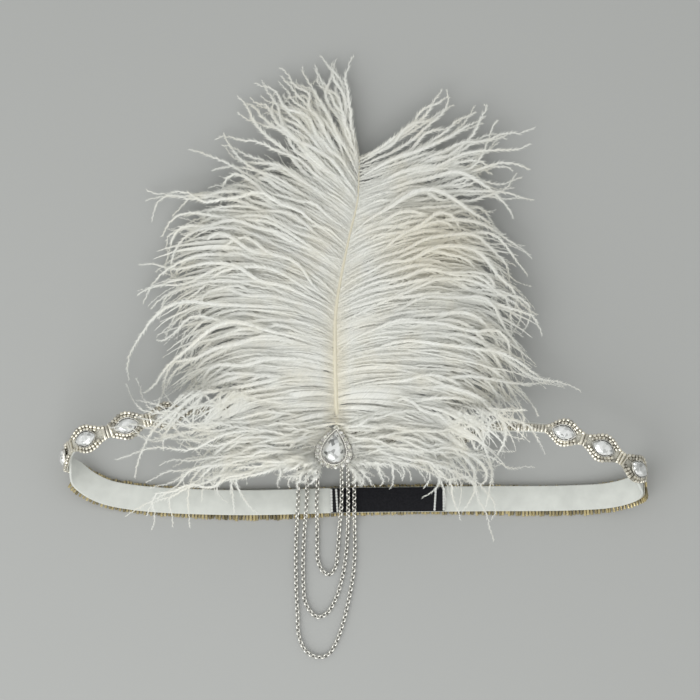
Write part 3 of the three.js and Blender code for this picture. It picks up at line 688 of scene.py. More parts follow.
def label_finish():
    """Black damask weave: fine twill lines and a dull surface."""
    base = settings().colours.label
    finish = Finish("black label weave", base, roughness=0.8, specular_ior_level=0.08)
    if finish.made:
        twill = finish.add("TexWave", wave_type="BANDS", bands_direction="DIAGONAL", Scale=1.0)
        finish.join(finish.place((1500.0, 1500.0, 1.0), uv=True), twill.inputs["Vector"])
        cloud = finish.noise(1200.0, 3.0)
        finish.colour(finish.mix(cloud, shade(base, 0.6), shade(base, 2.2)))
        finish.bump(finish.math("ADD", twill.outputs["Fac"], cloud), 0.3, 0.08 * MM)
    return finish.material


def thread_finish():
    """White twisted sewing thread."""
    base = settings().colours.thread
    finish = Finish("white sewing thread", base, roughness=0.7, sheen_weight=0.2)
    if finish.made:
        twist = finish.noise(3000.0, 1.0)
        finish.colour(finish.mix(twist, shade(base, 0.8), shade(base, 1.05)))
        finish.bump(twist, 0.3, 0.05 * MM)
    return finish.material


def net_finish():
    """Champagne net: small cells whose middles are painted darker, as shade seen through the open cells."""
    base = settings().colours.net
    finish = Finish("champagne bead net", base, roughness=0.75)
    if finish.made:
        cells = finish.add("TexVoronoi", feature="DISTANCE_TO_EDGE", Scale=1.0)
        finish.join(finish.place(1400.0), cells.inputs["Vector"])
        mesh = finish.span(cells.outputs["Distance"], 0.05, 0.3, 1, 0)
        # Painted shade: the cells' middles are darker, as if one saw shade through the open net.
        finish.colour(finish.mix(mesh, shade(base, 0.55), base))
        finish.bump(mesh, 0.5, 0.1 * MM)
    return finish.material


def bead_finish(name, base, darkest, brightest, metallic, roughness):
    """Lined glass beads: each bead has its own tone, between a dark and a bright cast of the colour."""
    finish = Finish(name, base, metallic=metallic, roughness=roughness, coat_weight=0.4, coat_roughness=0.08)
    if finish.made:
        stops = [(0.0, shade(base, darkest)), (0.45, base), (1.0, shade(base, brightest))]
        toned = finish.ramp(finish.tone(), stops)
        cloud = finish.noise(1700.0, 2.0)
        finish.colour(finish.mix(finish.span(cloud, 0.3, 0.7, 0, 0.5), toned, shade(base, 0.7)))
        finish.bump(cloud, 0.15, 0.1 * MM)
    return finish.material


def crystal_finish(name, darkest, cast=(1, 1, 1)):
    """Foiled crystal of a given cast: bright, with painted glints and painted reflections under the facets,
    in random cells from the darkest shade to white."""
    base = tuple(np.array(settings().colours.crystal) * cast)
    finish = Finish(name, base, metallic=0.55, roughness=0.07, coat_weight=1.0, coat_roughness=0.02)
    if finish.made:
        cells = finish.add("TexVoronoi", Scale=1.0)
        finish.join(finish.place(620.0), cells.inputs["Vector"])
        painted_glint = finish.add("SeparateColor")
        finish.join(cells.outputs["Color"], painted_glint.inputs["Color"])
        # Painted light: each random cell gets a shade from dark to white, standing in for the facets' glints
        # and reflections.
        dark, middle = shade(base, darkest), shade(base, (1 + darkest) / 2)
        stops = [(0.0, dark), (0.25, middle), (0.5, base), (1.0, (1, 1, 1))]
        finish.colour(finish.ramp(painted_glint.outputs[0], stops))
        finish.bump(painted_glint.outputs[1], 0.35, 0.25 * MM)
    return finish.material


def silver_finish():
    """Rhodium-bright plated metal with darker grime in patches."""
    base = settings().colours.silver
    finish = Finish("bright silver plate", base, metallic=1.0, roughness=0.24)
    if finish.made:
        cloud = finish.noise(900.0, 4.0)
        finish.colour(finish.mix(finish.span(cloud, 0.35, 0.65, 0, 1), shade(base, 0.62), shade(base, 1.08)))
        finish.rough(finish.span(cloud, 0.3, 0.7, 0.36, 0.16))
        finish.bump(finish.noise(2400.0, 2.0), 0.12, 0.05 * MM)
    return finish.material


def shaded_silver_finish():
    """Silver of the chains and the jewel with painted shade and painted highlights: near black in recesses,
    brighter on raised and outer parts.
    """
    base = settings().colours.silver
    finish = Finish("silver with painted shade", base, metallic=1.0, roughness=0.22)
    if finish.made:
        # By tone: near black for painted shade on the links' inner sides and the recessed plate, up to a
        # painted highlight brighter than the silver on outer sides and rims; random clouds brighten it too.
        stops = [(0.0, (0.02, 0.02, 0.018)), (0.22, shade(base, 0.4)), (0.42, base), (0.9, shade(base, 1.25))]
        painted_shading = finish.ramp(finish.tone(), stops)
        cloud = finish.noise(1500.0, 3.0)
        finish.colour(finish.mix(finish.span(cloud, 0.45, 0.7, 0, 0.6), painted_shading, shade(base, 1.25)))
        finish.rough(finish.span(cloud, 0.3, 0.7, 0.32, 0.14))
    return finish.material


def quill_finish():
    """Cream horn: fine streaks along the shaft and a slight gloss."""
    base = settings().colours.quill
    finish = Finish("cream quill", base, roughness=0.42, coat_weight=0.15)
    if finish.made:
        streaks = finish.noise((5200.0, 260.0, 5200.0), 3.0)
        finish.colour(finish.mix(streaks, shade(base, 0.82), shade(base, 1.15)))
        finish.bump(streaks, 0.25, 0.08 * MM)
    return finish.material


# The down's creamy patch, by its middle and half its size across and along the plume, and its creamy
# line beside the shaft: where that runs, and between which places it fades.
CREAM_PATCH = ((35 * MM, 30 * MM), (120 * MM, 26 * MM))
CREAM_SHAFT = -9.5 * MM
CREAM_FADE = (70 * MM, 125 * MM)


def down_finish():
    """Ostrich down: matt off-white barbs, each with its own tone, partly painted shade on lower barbs, and
    darker streaks along their length painted as shade between fine barbules; creamier in one patch, beside
    the low shaft and in clouds."""
    colours = settings().colours
    base, cream = colours.down, colours.cream
    finish = Finish("ostrich down", base, roughness=0.85, sheen_weight=0.5, specular_ior_level=0.2)
    if finish.made:
        # The barbs' tone is random, and darker for lower barbs as painted shade.
        toned = finish.ramp(finish.tone(), [(0.0, shade(base, 0.84)), (0.5, base), (1.0, shade(base, 1.08))])
        split = finish.add("SeparateXYZ")
        finish.join(finish.add("TexCoord").outputs["Object"], split.inputs["Vector"])
        squares = []
        for output, (middle, half) in zip(split.outputs, CREAM_PATCH):
            off = finish.math("MULTIPLY", finish.math("SUBTRACT", output, middle), 1 / half)
            squares.append(finish.math("MULTIPLY", off, off))
        patch = finish.span(finish.math("ADD", *squares), 0.1, 1.1, 0.6, 0.0)
        cloud = finish.span(finish.noise(70.0, 3.0), 0.42, 0.68, 0.0, 0.3)
        off_shaft = finish.math("ABSOLUTE", finish.math("SUBTRACT", split.outputs[0], CREAM_SHAFT))
        low = finish.span(split.outputs[1], *CREAM_FADE, 0.75, 0.0)
        at_shaft = finish.math("MULTIPLY", finish.span(off_shaft, 0.5 * MM, 8 * MM, 1, 0), low)
        patch = finish.math("MAXIMUM", patch, at_shaft)
        creamy = finish.mix(finish.math("MAXIMUM", patch, cloud), toned, cream)
        # Painted shade: darker streaks along each barb stand in for the shaded gaps between fine barbules.
        streak = finish.noise((200.0, 3000.0, 1.0), 3.0, uv=True)
        finish.colour(finish.mix(finish.span(streak, 0.34, 0.6, 0.6, 0.0), creamy, shade(base, 0.6)))
        finish.bump(streak, 0.5, 0.2 * MM)
    return finish.material


# The band

def ribbon_share(along):
    """The ribbon's width by distance along the band, as a share of its width at the back: it narrows to
    its front width inside each end of the front trim."""
    band = settings().band
    _, length, jewel = band_line()
    station = np.mod(jewel - along + length / 2, length) - length / 2
    left, right = (share * band.stone_pitch for share in TRIM_ENDS)
    front = np.clip((station - left) / RIBBON_TAPER, 0, 1) * np.clip((right - station) / RIBBON_TAPER, 0, 1)
    return 1 - (1 - band.ribbon_front / band.ribbon_width) * eased(front)


def loop_slab(name, outline, step, material, slot, nodes, between=None):
    """A slab carried along the band, over a stretch or all round, with UV in metres along and across. It
    narrows with the ribbon."""
    length = band_line()[1]
    start, end = between or (0.0, length)
    count = int(round((end - start) / step))
    along = np.linspace(start, end, count, endpoint=between is not None)
    point, _, across, out = band_frames(along)
    share = ribbon_share(along)
    points = carried(point, across, out, outline * np.stack([share, np.ones(count)], -1)[:, None])
    points = above_table(points, 0.05 * MM)
    rows, columns = points.shape[:2]
    faces, steps = grid_faces(rows, columns, wrap_rows=between is None, wrap_columns=True)
    around = run_along(np.linalg.norm(np.roll(outline, -1, 0) - outline, axis=1))
    uv = np.stack([steps[..., 0] * (end - start) / count, around[steps[..., 1]]], -1)
    blocks = [faces] if between is None else [faces, capped(rows, columns)]
    return new_piece(name, points.reshape(-1, 3), blocks, material, slot, nodes, uv=uv)


class HEADBAND_OT_ribbon(bpy.types.Operator):
    """Lays the satin ribbon round its loop"""

    bl_idname = "headband.ribbon"
    bl_label = "Ribbon"

    def execute(self, context):
        band = settings().band
        half = band.ribbon_thickness / 2
        outline = rounded_slab(band.ribbon_width / 2, -half, half, 0.4 * MM)
        piece = loop_slab("satin_ribbon", outline, 1.6 * MM, satin_finish(), "satin", ["ribbon"])
        return {"FINISHED"}


class HEADBAND_OT_label(bpy.types.Operator):
    """Lays the bare woven label on the back's inner face and sews its ends"""

    bl_idname = "headband.label"
    bl_label = "Label"

    def execute(self, context):
        band = settings().band
        under = -band.ribbon_thickness / 2 - band.gap
        thick = 0.8 * MM
        outline = rounded_slab(band.label_width / 2, under - thick, under, 0.3 * MM)
        middle = band.label_shift + band_line()[1]
        ends = (middle - band.label_length / 2, middle + band.label_length / 2)
        piece = loop_slab("woven_label", outline, 1.2 * MM, label_finish(), "label", ["label"], ends)
        self.sew(ends, band, under - thick)
        return {"FINISHED"}

    def sew(self, ends, band, top):
        """Rows of short stitches across the label: two at each end, the inner one slightly slanted."""
        margin = 0.3 * MM
        pitch = (band.label_width - 2 * margin) / STITCHES
        across = (np.arange(STITCHES) + 0.5) * pitch - band.label_width / 2 + margin
        along = np.concatenate([ends[end] + inset + slant * across for end, inset, slant in STITCH_ROWS])
        across = np.tile(across, len(STITCH_ROWS))
        point, ahead, side, out = band_frames(along)
        origins = set_out((point, ahead, side, out), across, np.full(len(across), top - 0.06 * MM))
        radii, heights = np.array([0.0, 0.75, 1.0, 0.75, 0.0]), np.array([-0.5, -0.44, 0, 0.44, 0.5])
        shape, blocks = barrel(6, radii, heights)
        scales = np.tile([0.52 * MM, 0.22 * MM, pitch * 0.97], (len(across), 1))
        points, faces = repeated(shape, blocks, origins, np.stack([ahead, out, side], 1), scales)
        new_piece("label_stitches", points, faces, thread_finish(), "label", [])


def barrel(sides, radii, heights):
    """A round shape on its own axes: a circle of each radius at each height, closed by end faces.
    Radii of nothing are drawn in to a small cap."""
    flat = np.maximum(radii, 0.3)[:, None, None] * circle(sides)[None]
    points = np.concatenate([flat, np.broadcast_to(heights[:, None, None], (*flat.shape[:2], 1))], -1)
    faces, _ = grid_faces(len(radii), sides, wrap_columns=True)
    return points.reshape(-1, 3), [faces, capped(len(radii), sides)]


SEED_BEAD = barrel(8, np.array([0.55, 0.92, 1.0, 0.92, 0.55]), np.array([-1, -0.72, 0, 0.72, 1.0]))
BUGLE_BEAD = barrel(7, np.array([0.7, 1.0, 1.0, 0.7]), np.array([-1, -0.86, 0.86, 1.0]))


def beads(name, bead, origins, lengthwise, outward, radius, half_length, material, slot, nodes, seed):
    """Beads of one kind: each lies along its own lengthwise direction, with a tone of its own."""
    rng = np.random.default_rng(seed)
    count = len(origins)
    lengthwise = unit(lengthwise + rng.normal(0, 0.05, (count, 3)))
    side = unit(np.cross(outward, lengthwise))
    axes = np.stack([side, np.cross(lengthwise, side), lengthwise], 1)
    size = 1 + rng.normal(0, 0.03, (count, 1))
    radii = np.full(count, radius)
    scales = np.stack([radii, radii, np.broadcast_to(half_length, count)], -1)
    points, blocks = repeated(bead[0], bead[1], origins, axes, scales * size)
    tone = np.repeat(rng.beta(1.6, 1.6, count), len(bead[0]))
    return new_piece(name, above_table(points, 0.02 * MM), blocks, material, slot, nodes, tone=tone)


def stone_stations():
    """Stations of the stones along the front."""
    return STONE_PLACES * settings().band.stone_pitch


def trim_shares(station):
    """How far a place belongs to a stone's outline, the squared cosine of its distance from the nearest
    stone, and half the trim's width there."""
    band = settings().band
    stones = stone_stations()
    away = np.abs(station[:, None] - stones[None])
    nearest = away.min(1)
    share = np.where(nearest < band.stone_pitch / 2, np.cos(math.pi * nearest / band.stone_pitch) ** 2, 0.0)
    near = away < band.stone_pitch * 1.01
    before = (near & (stones[None] <= station[:, None])).any(1)
    after = (near & (stones[None] >= station[:, None])).any(1)
    plain = np.where((near.sum(1) > 1) & before & after, band.trim_joint, band.trim_bar)
    return share, (plain + (band.trim_wide - plain) * share) / 2


class HEADBAND_OT_front_trim(bpy.types.Operator):
    """Sews the front's net, seed bead rows and bugle bars"""

    bl_idname = "headband.front_trim"
    bl_label = "Front trim"

    def execute(self, context):
        part = settings()
        band, sizes = part.band, part.beads
        seat = trim_heights(band)[0]
        left, right = (share * band.stone_pitch for share in TRIM_ENDS)
        self.net(left, right, seat)
        spots, along, outward = [], [], []
        for inset, size, pitch, least in SEED_ROWS:
            lift = seat + NET_DEPTH + sizes.seed * size / 2
            for way in (1, -1):
                station = self.spread(left + 1 * MM, right - 1 * MM, inset, sizes.seed_pitch * pitch)
                share, outer = trim_shares(station)
                station = station[(outer - inset > 0.6 * MM) & (share > least)]
                spot, frames = self.on_row(station, way, inset, lift)
                further, _ = self.on_row(station + 0.4 * MM, way, inset, lift)
                spots.append(spot)
                along.append(unit(further - spot))
                outward.append(frames[3])
        spots = np.concatenate(spots)
        spots = spots + np.random.default_rng(5).normal(0, 0.06 * MM, spots.shape)
        beads(
            "front_seed_beads", SEED_BEAD, spots, np.concatenate(along), np.concatenate(outward),
            sizes.seed / 2, sizes.seed_pitch * 0.43,
            bead_finish("champagne seed beads", part.colours.champagne, 0.34, 1.25, 0.8, 0.2), "beads",
            ["trim_front"], 7,
        )
        self.bars(left, right, seat)
        return {"FINISHED"}

    def on_row(self, station, way, inset, lift):
        """Points of a bead row on one side of the trim, inside its edge, and their frames."""
        frames = front_frames(station)
        outer = trim_shares(station)[1]
        return set_out(frames, way * (outer - inset), np.full(len(station), lift)), frames

    def spread(self, left, right, inset, pitch):
        """Stations at even distances along a bead row, which is longer where the outline swells."""
        dense = np.linspace(left, right, 4000)
        outer = trim_shares(dense)[1] - inset
        run = run_along(np.hypot(np.diff(dense), np.diff(outer)))
        return np.interp(np.arange(0.5, run[-1] / pitch - 0.5) * pitch, run, dense)

    def net(self, left, right, seat):
        """The net strip under the beads: a slab as wide as the beads' outline less a little."""
        station = np.linspace(left, right, 360)
        outer = trim_shares(station)[1] - 0.5 * MM
        outline = rounded_slab(1.0, 0.0, 1.0, 0.2)
        profile = outline[None] * np.stack([outer, np.full(len(outer), NET_DEPTH)], -1)[:, None] + (0, seat)
        point, _, across, out = front_frames(station)
        points = carried(point, across, out, profile)
        faces, _ = grid_faces(len(station), len(outline), wrap_columns=True)
        blocks = [faces, capped(len(station), len(outline))]
        net = new_piece("front_net", points.reshape(-1, 3), blocks, net_finish(), "beads", [])

    def bars(self, left, right, seat):
        """Bugle beads side by side across the band, in the bars between two runs of stones and at both
        ends, and as a knot where two outlines meet."""
        part = settings()
        sizes = part.beads
        station = np.arange(left + 0.8 * MM, right - 0.5 * MM, sizes.bugle_pitch)
        share, outer = trim_shares(station)
        kept = share < 0.12
        station, outer = station[kept], outer[kept]
        frames = front_frames(station)
        spot = set_out(frames, 0 * station, np.full(len(station), seat + NET_DEPTH + sizes.bugle / 2))
        finish = bead_finish("champagne bugle beads", part.colours.champagne, 0.4, 1.25, 0.8, 0.18)
        beads(
            "front_bugle_beads", BUGLE_BEAD, spot, frames[2], frames[3], sizes.bugle / 2, outer - 0.15 * MM,
            finish, "beads", [], 8,
        )


class HEADBAND_OT_back_trim(bpy.types.Operator):
    """Sews the gold bugle beads under the back and round the ends"""

    bl_idname = "headband.back_trim"
    bl_label = "Back trim"

    def execute(self, context):
        part = settings()
        band, sizes = part.band, part.beads
        seat = trim_heights(band)[0]
        _, length, jewel = band_line()
        start = jewel - TRIM_ENDS[0] * band.stone_pitch + band.gap
        end = jewel - TRIM_ENDS[1] * band.stone_pitch - band.gap + length
        net_width = band.ribbon_width - 1.2 * MM
        outline = rounded_slab(net_width / 2, seat, seat + 0.35 * MM, 0.15 * MM) - (0.4 * MM, 0)
        net = loop_slab("back_net", outline, 2 * MM, net_finish(), "beads", [], (start, end))
        along = np.arange(start + 0.9 * MM, end - 0.8 * MM, sizes.bugle_pitch)
        rng = np.random.default_rng(11)
        radius = sizes.bugle / 2
        reach = band.back_width / BACK_ROWS / 2
        far, wave = BACK_SWAY
        spots, lengthwise, outward = [], [], []
        for row in range(BACK_ROWS):
            place = along + rng.normal(0, 0.12 * MM, len(along))
            frames = band_frames(place)
            middle = (2 * row + 1) * reach - band.back_width / 2 - BACK_SHIFT
            sway = rng.normal(0, 0.18 * MM, len(place)) + far * np.sin(place / wave)
            spots.append(set_out(frames, middle + sway, np.full(len(place), seat + 0.38 * MM + radius)))
            lengthwise.append(unit(frames[2] + frames[1] * rng.normal(0, 0.07, (len(place), 1))))
            outward.append(frames[3])
        beads(
            "back_bugle_beads", BUGLE_BEAD, np.concatenate(spots), np.concatenate(lengthwise),
            np.concatenate(outward), radius, reach - 0.2 * MM,
            bead_finish("gold bugle beads", part.colours.gold, 0.22, 1.7, 0.75, 0.24), "beads",
            ["trim_back"], 12,
        )
        return {"FINISHED"}


# Stones and jewel

def marquise_outline(corners):
    """Pointed oval of unit length and width: half the width is one less a power of the half length."""
    turns = even_turns(corners)
    x = np.cos(turns)
    return np.stack([x / 2, np.sign(np.sin(turns).round(9)) * (1 - np.abs(x) ** MARQUISE_POWER) / 2], -1)


def teardrop_outline(length, width, corners):
    """Teardrop with its point at +Y: across follows sin(t) sin(t/2) and along follows cos(t)."""
    turns = even_turns(corners)
    across = -np.sin(turns) * np.sin(turns / 2) / TEARDROP_PEAK
    return np.stack([across * width / 2, np.cos(turns) * length / 2], -1)


def faceted(outline, tiers):
    """A cut stone: the outline at each tier's height and share, every other tier turned by half a
    corner, so that the facets between two tiers are triangles. Returns points and blocks."""
    corners = len(outline)
    between = (outline + np.roll(outline, -1, 0)) / 2
    points = np.concatenate([
        np.column_stack([(between if k % 2 else outline) * share, np.full(corners, height)])
        for k, (height, share) in enumerate(tiers)
    ])
    i = np.arange(corners)
    j = (i + 1) % corners
    triangles = []
    for k in range(len(tiers) - 1):
        low, high = k * corners, (k + 1) * corners
        a, b, c, d = low + i, low + j, high + j, high + i
        halves = ((a, c, d), (a, b, c)) if k % 2 else ((a, b, d), (b, c, d))
        triangles += [np.stack(half, -1) for half in halves]
    ends = np.stack([i[::-1], (len(tiers) - 1) * corners + i])
    return points, [np.concatenate(triangles), ends]


def rim(outline, width, height):
    """A round rim carried along a closed outline. Returns points and blocks."""
    sides = 6
    profile = circle(sides) * (width / 2, height / 2)
    ahead = unit(np.roll(outline, -1, 0) - np.roll(outline, 1, 0))
    side = np.stack([ahead[:, 1], -ahead[:, 0]], -1)
    flat = outline[:, None] + side[:, None] * profile[None, :, 0:1]
    points = np.concatenate([flat, np.broadcast_to(profile[None, :, 1:2], (*flat.shape[:2], 1))], -1)
    faces, _ = grid_faces(len(outline), sides, wrap_rows=True, wrap_columns=True)
    return points.reshape(-1, 3), [faces]


def joined(parts):
    """Several shapes as one."""
    points, blocks, count = [], {}, 0
    for shape, faces in parts:
        for block in faces:
            blocks.setdefault(block.shape[1], []).append(block + count)
        points.append(shape)
        count += len(shape)
    return np.concatenate(points), [np.concatenate(found) for found in blocks.values()]


class HEADBAND_OT_stones(bpy.types.Operator):
    """Sets the pointed oval stones in their cups along the front"""

    bl_idname = "headband.stones"
    bl_label = "Front stones"

    def execute(self, context):
        part = settings()
        sizes = part.stones
        base = trim_heights(part.band)[0] + STONE_LIFT + part.band.gap
        point, right, across, out = front_frames(stone_stations())
        origins = set_out((point, right, across, out), np.zeros(len(point)), np.full(len(point), base))
        axes = np.stack([right, across, out], 1)
        outline = marquise_outline(16)
        shape, blocks = faceted(outline, MARQUISE_TIERS)
        scales = np.tile([sizes.length, sizes.width, sizes.height], (len(point), 1))
        stones, faces = repeated(shape, blocks, origins, axes, scales)
        nodes = [name for name in frame["nodes"] if name.startswith("marquise_")]
        finish = crystal_finish("milky foiled crystal", 0.5)
        new_piece("marquise_stones", stones, faces, finish, "crystal", nodes, smooth=False)
        edge = marquise_outline(28) * (sizes.length + CUP_ROOM, sizes.width + CUP_ROOM)
        parts = [rim(edge, *CUP_RIM)]
        prong, prong_faces = barrel(6, np.array([1.0, 1.0, 0.6]), np.array([0.0, 0.8, 1.0]))
        for x, way in PRONG_PLACES:
            aside = way * (1 - abs(2 * x) ** MARQUISE_POWER) * (sizes.width / 2 + 0.1 * MM)
            parts.append((prong * PRONG_SIZE + (x * sizes.length, aside, -PRONG_FOOT), prong_faces))
        shape, blocks = joined(parts)
        lifted = origins + out * CUP_LIFT
        cups, faces = repeated(shape, blocks, lifted, axes, np.ones((len(point), 3)))
        new_piece("stone_cups", cups, faces, silver_finish(), "silver", [])
        return {"FINISHED"}


class HEADBAND_OT_jewel(bpy.types.Operator):
    """Makes the pear-shaped jewel: its plate, bezel, halo of small stones and its stone"""

    bl_idname = "headband.jewel"
    bl_label = "Jewel"

    def execute(self, context):
        part = settings()
        sizes, gap = part.stones, part.band.gap
        seat = trim_heights(part.band)[0] + TRIM_DEPTH + gap
        frames = front_frames([0.0])
        origin = set_out(frames, np.array([-sizes.jewel_drop]), np.array([seat]))
        axes = np.stack([frames[1], frames[2], frames[3]], 1)

        def placed(shape, blocks):
            return repeated(shape, blocks, origin, axes, np.ones((1, 3)))

        middle = teardrop_outline(
            (sizes.jewel_length + sizes.pear_length) / 2 + 0.9 * MM,
            (sizes.jewel_width + sizes.pear_width) / 2 + 0.9 * MM,
            sizes.halo_stones,
        )
        parts = [self.plate(sizes)]
        bezel = teardrop_outline(sizes.pear_length + BEZEL_ROOM, sizes.pear_width + BEZEL_ROOM, 56)
        for height, width, tall in BEZEL_RIMS:
            ring, faces = rim(bezel, width, tall)
            parts.append((ring + (0, 0, PLATE_DEPTH + height), faces))
        parts += self.grains(bezel, middle)
        points, faces = placed(*joined(parts))
        # Painted shade and highlight: the plate gets the low tone, the rims and grains the high one.
        tone = np.ones(len(points))
        tone[:len(parts[0][0])] = PLATE_SHADE_TONE
        finish = shaded_silver_finish()
        new_piece("jewel_mount", points, faces, finish, "silver", ["jewel_setting"], tone=tone)

        brilliant, blocks = faceted(circle(8) / 2, BRILLIANT_TIERS)
        level = PLATE_DEPTH + 0.1 * MM
        halo = [(brilliant * HALO_SIZE + (x, y, level), blocks) for x, y in middle]
        points, faces = placed(*joined(halo))
        halo_finish = crystal_finish("warm foiled crystal", 0.45, (1.0, 0.98, 0.87))
        new_piece("halo_stones", points, faces, halo_finish, "crystal", [], smooth=False)

        outline = teardrop_outline(sizes.pear_length, sizes.pear_width, 18)
        shape, blocks = faceted(outline, PEAR_TIERS)
        points, faces = placed(shape + (0, 0, PLATE_DEPTH + gap), blocks)
        pear_finish = crystal_finish("clear foiled crystal", 0.16)
        new_piece("pear_crystal", points, faces, pear_finish, "crystal", ["pear_stone"], smooth=False)
        return {"FINISHED"}

    def plate(self, sizes):
        """The plate: a teardrop slab whose edge is scalloped once for each halo stone, drawn in by one less
        the size of a cosine, and narrower at the rings next to its two faces."""
        corners = sizes.halo_stones * 8
        outline = teardrop_outline(1.0, 1.0, corners)
        scallop = (np.abs(np.cos(even_turns(corners) * sizes.halo_stones / 2)) - 1) * SCALLOP
        edge = outline * (sizes.jewel_width, sizes.jewel_length)
        edge = edge + unit(edge) * scallop[:, None]
        levels = (
            (0.3 * MM, 0.9), (0.3 * MM, 0.97), (1.4 * MM, 1.0), (PLATE_DEPTH - 0.3 * MM, 1.0),
            (PLATE_DEPTH, 0.975),
        )
        rings = [np.column_stack([edge * share, np.full(corners, z)]) for z, share in levels]
        faces, _ = grid_faces(len(levels), corners, wrap_columns=True)
        return np.concatenate(rings), [faces, capped(len(levels), corners)]

    def grains(self, bezel, middle):
        """Beaded grains: a milled row on the bezel's line made a little larger, and two prongs between
        each two halo stones, one nearer the middle and one further out."""
        grain, faces = barrel(6, np.array([0.5, 1.0, 0.5]), np.array([-1.0, 0.0, 1.0]))
        level = PLATE_DEPTH + 0.55 * MM
        parts = [(grain * 0.28 * MM + (x * 1.07, y * 1.07, level), faces) for x, y in bezel]
        for k, (x, y) in enumerate(middle):
            following = middle[(k + 1) % len(middle)]
            between = (np.array([x, y]) + following) / 2
            for share in (0.88, 1.1):
                spot = (*(between * share), PLATE_DEPTH + 0.35 * MM)
                parts.append((grain * (0.36 * MM, 0.36 * MM, 0.8 * MM) + spot, faces))
        return parts


# The plume

class HEADBAND_OT_shaft(bpy.types.Operator):
    """Makes the plume's shaft"""

    bl_idname = "headband.shaft"
    bl_label = "Shaft"

    def execute(self, context):
        sizes = settings().plume
        line, _ = shaft_line()
        along = np.linspace(0, line[1][-1], 90)
        points = on_line(line, along)
        side, up = side_and_up(unit(np.gradient(points, axis=0)))
        sides = 12
        # A slightly flat circle carried along the line, whose radius falls evenly from foot to tip.
        radius = (sizes.shaft_foot + (sizes.shaft_tip - sizes.shaft_foot) * along / along[-1]) / 2
        ring = circle(sides) * (1, 0.9)
        shape = carried(points, side, up, ring[None] * radius[:, None, None])
        faces, _ = grid_faces(len(points), sides, wrap_columns=True)
        blocks = [faces, capped(len(points), sides)]
        new_piece("quill_shaft", shape.reshape(-1, 3), blocks, quill_finish(), "quill", ["shaft"])
        return {"FINISHED"}


# The plume's two sides, and which way each lies along X.
SIDES = {"left": -1, "right": 1}

# Where the barbs beside the jewel grow: how high above the band's middle line, and how far out from the
# jewel's middle, as a share of its length and width.
FOOT_HEIGHT = 4.6 * MM
FOOT_RING = 0.46

# The waves along a barb: how often each swings, and how far in degrees.
BARB_WAVES = ((1.1, 10.0), (2.3, 13.0), (4.4, 11.0))

# How much further the barbs' tips droop on each side than their kind's mean.
TIP_DROOP = {"left": 1.0, "right": 1.45}


def beside_jewel(side, drop):
    """Where the barbs beside the jewel grow, from the foremost at 0 to the last at 1, and their lean in
    degrees: they stand on a teardrop inside the jewel's edge."""
    jewel = settings().stones
    first, last = FOOT_BARBS[side][:2]
    turn = math.pi * (first + (last - first) * drop)
    middle = set_out(front_frames([0.0]), np.array([-jewel.jewel_drop]), np.array([FOOT_HEIGHT]))
    beside = np.sin(turn) * np.sin(turn / 2) / TEARDROP_PEAK * jewel.jewel_width * FOOT_RING
    ahead = np.cos(turn) * jewel.jewel_length * FOOT_RING
    root = middle + np.stack([SIDES[side] * beside, ahead, np.zeros(len(drop))], -1)
    return root, 91 + 13 * drop + 60 * np.clip((drop - 0.8) / 0.2, 0, 1) ** 2


def barb_curves(side, at, v, rng, kind):
    """The barbs' middle lines before they gather. The table gives each barb's reach, lean, curl, crest
    and tip at its place on the shaft. Its angle is the lean plus the curl by the way gone less a half,
    three sines that grow along the way, and a hook over the last half. Its height falls with the 1.6th
    power of the way, over a half sine."""
    sizes = settings().plume
    rows = BARB_TABLES[side]
    reach, lean, curl, crest, tip = (np.interp(at, rows[:, 0], rows[:, k]) for k in range(1, 6))
    count = len(at)
    line, lead = shaft_line()
    total = line[1][-1]
    root = on_line(line, lead + (total - lead) * at)
    foot = on_line(line, np.array([lead]))[0, 2]
    shares = rng.uniform(*kind["reach"], count) * np.interp(at, (0.6, 0.85), (1, kind["top"]))
    shares = shares * np.where(rng.uniform(0, 1, count) < kind["far"], 1.2, 1)
    if kind["round"]:
        drop = rng.uniform(0, 1, count)
        root, lean = beside_jewel(side, drop)
        furthest, bent = FOOT_BARBS[side][2:]
        curl = rng.normal(bent, 16, count)
        tip = rng.uniform(0.1, 0.5, count)
        reach = np.full(count, furthest)
        shares = shares * np.interp(drop, (0, 0.7, 0.84, 1), (1, 0.92, 0.32, 0.15))
    reach = reach * sizes.reach * shares
    lean = lean + rng.normal(0, kind["stray"], count)
    curl = curl + rng.normal(0, 2.5 * kind["stray"], count)
    bend = np.zeros((count, len(v)))
    for periods, size in BARB_WAVES:
        phase = rng.uniform(0, 2 * math.pi, (count, 1))
        pace = periods * rng.uniform(0.8, 1.2, (count, 1))
        bend = bend + size * rng.normal(0, 1, (count, 1)) * np.sin(2 * math.pi * pace * v + phase) * v**0.8
    mean, spread = kind["hook"]
    droop = mean * TIP_DROOP[side] * np.interp(at, (0.5, 0.85), (1, 0.1))[:, None]
    hook = rng.normal(0, spread, (count, 1)) + droop
    hook = hook * np.clip((v - 0.5) / 0.5, 0, 1) ** 1.2
    angle = np.radians(lean[:, None] + curl[:, None] * (v - 0.5) + kind["wave"] * bend + hook)
    stride = reach[:, None] * np.gradient(v)
    x = SIDES[side] * np.cumsum(np.sin(angle) * stride, 1)
    y = np.cumsum(np.cos(angle) * stride, 1)
    start = root[:, 2:3]
    fall = (foot * tip[:, None] + 0.4 * MM - start) * np.minimum(shares[:, None], 1) ** 1.1
    height = start + fall * v**1.6 + crest[:, None] * foot * np.sin(math.pi * v)
    flat = np.stack([x - x[:, :1], y - y[:, :1]], -1) + root[:, None, :2]
    return np.concatenate([flat, height[..., None]], -1)


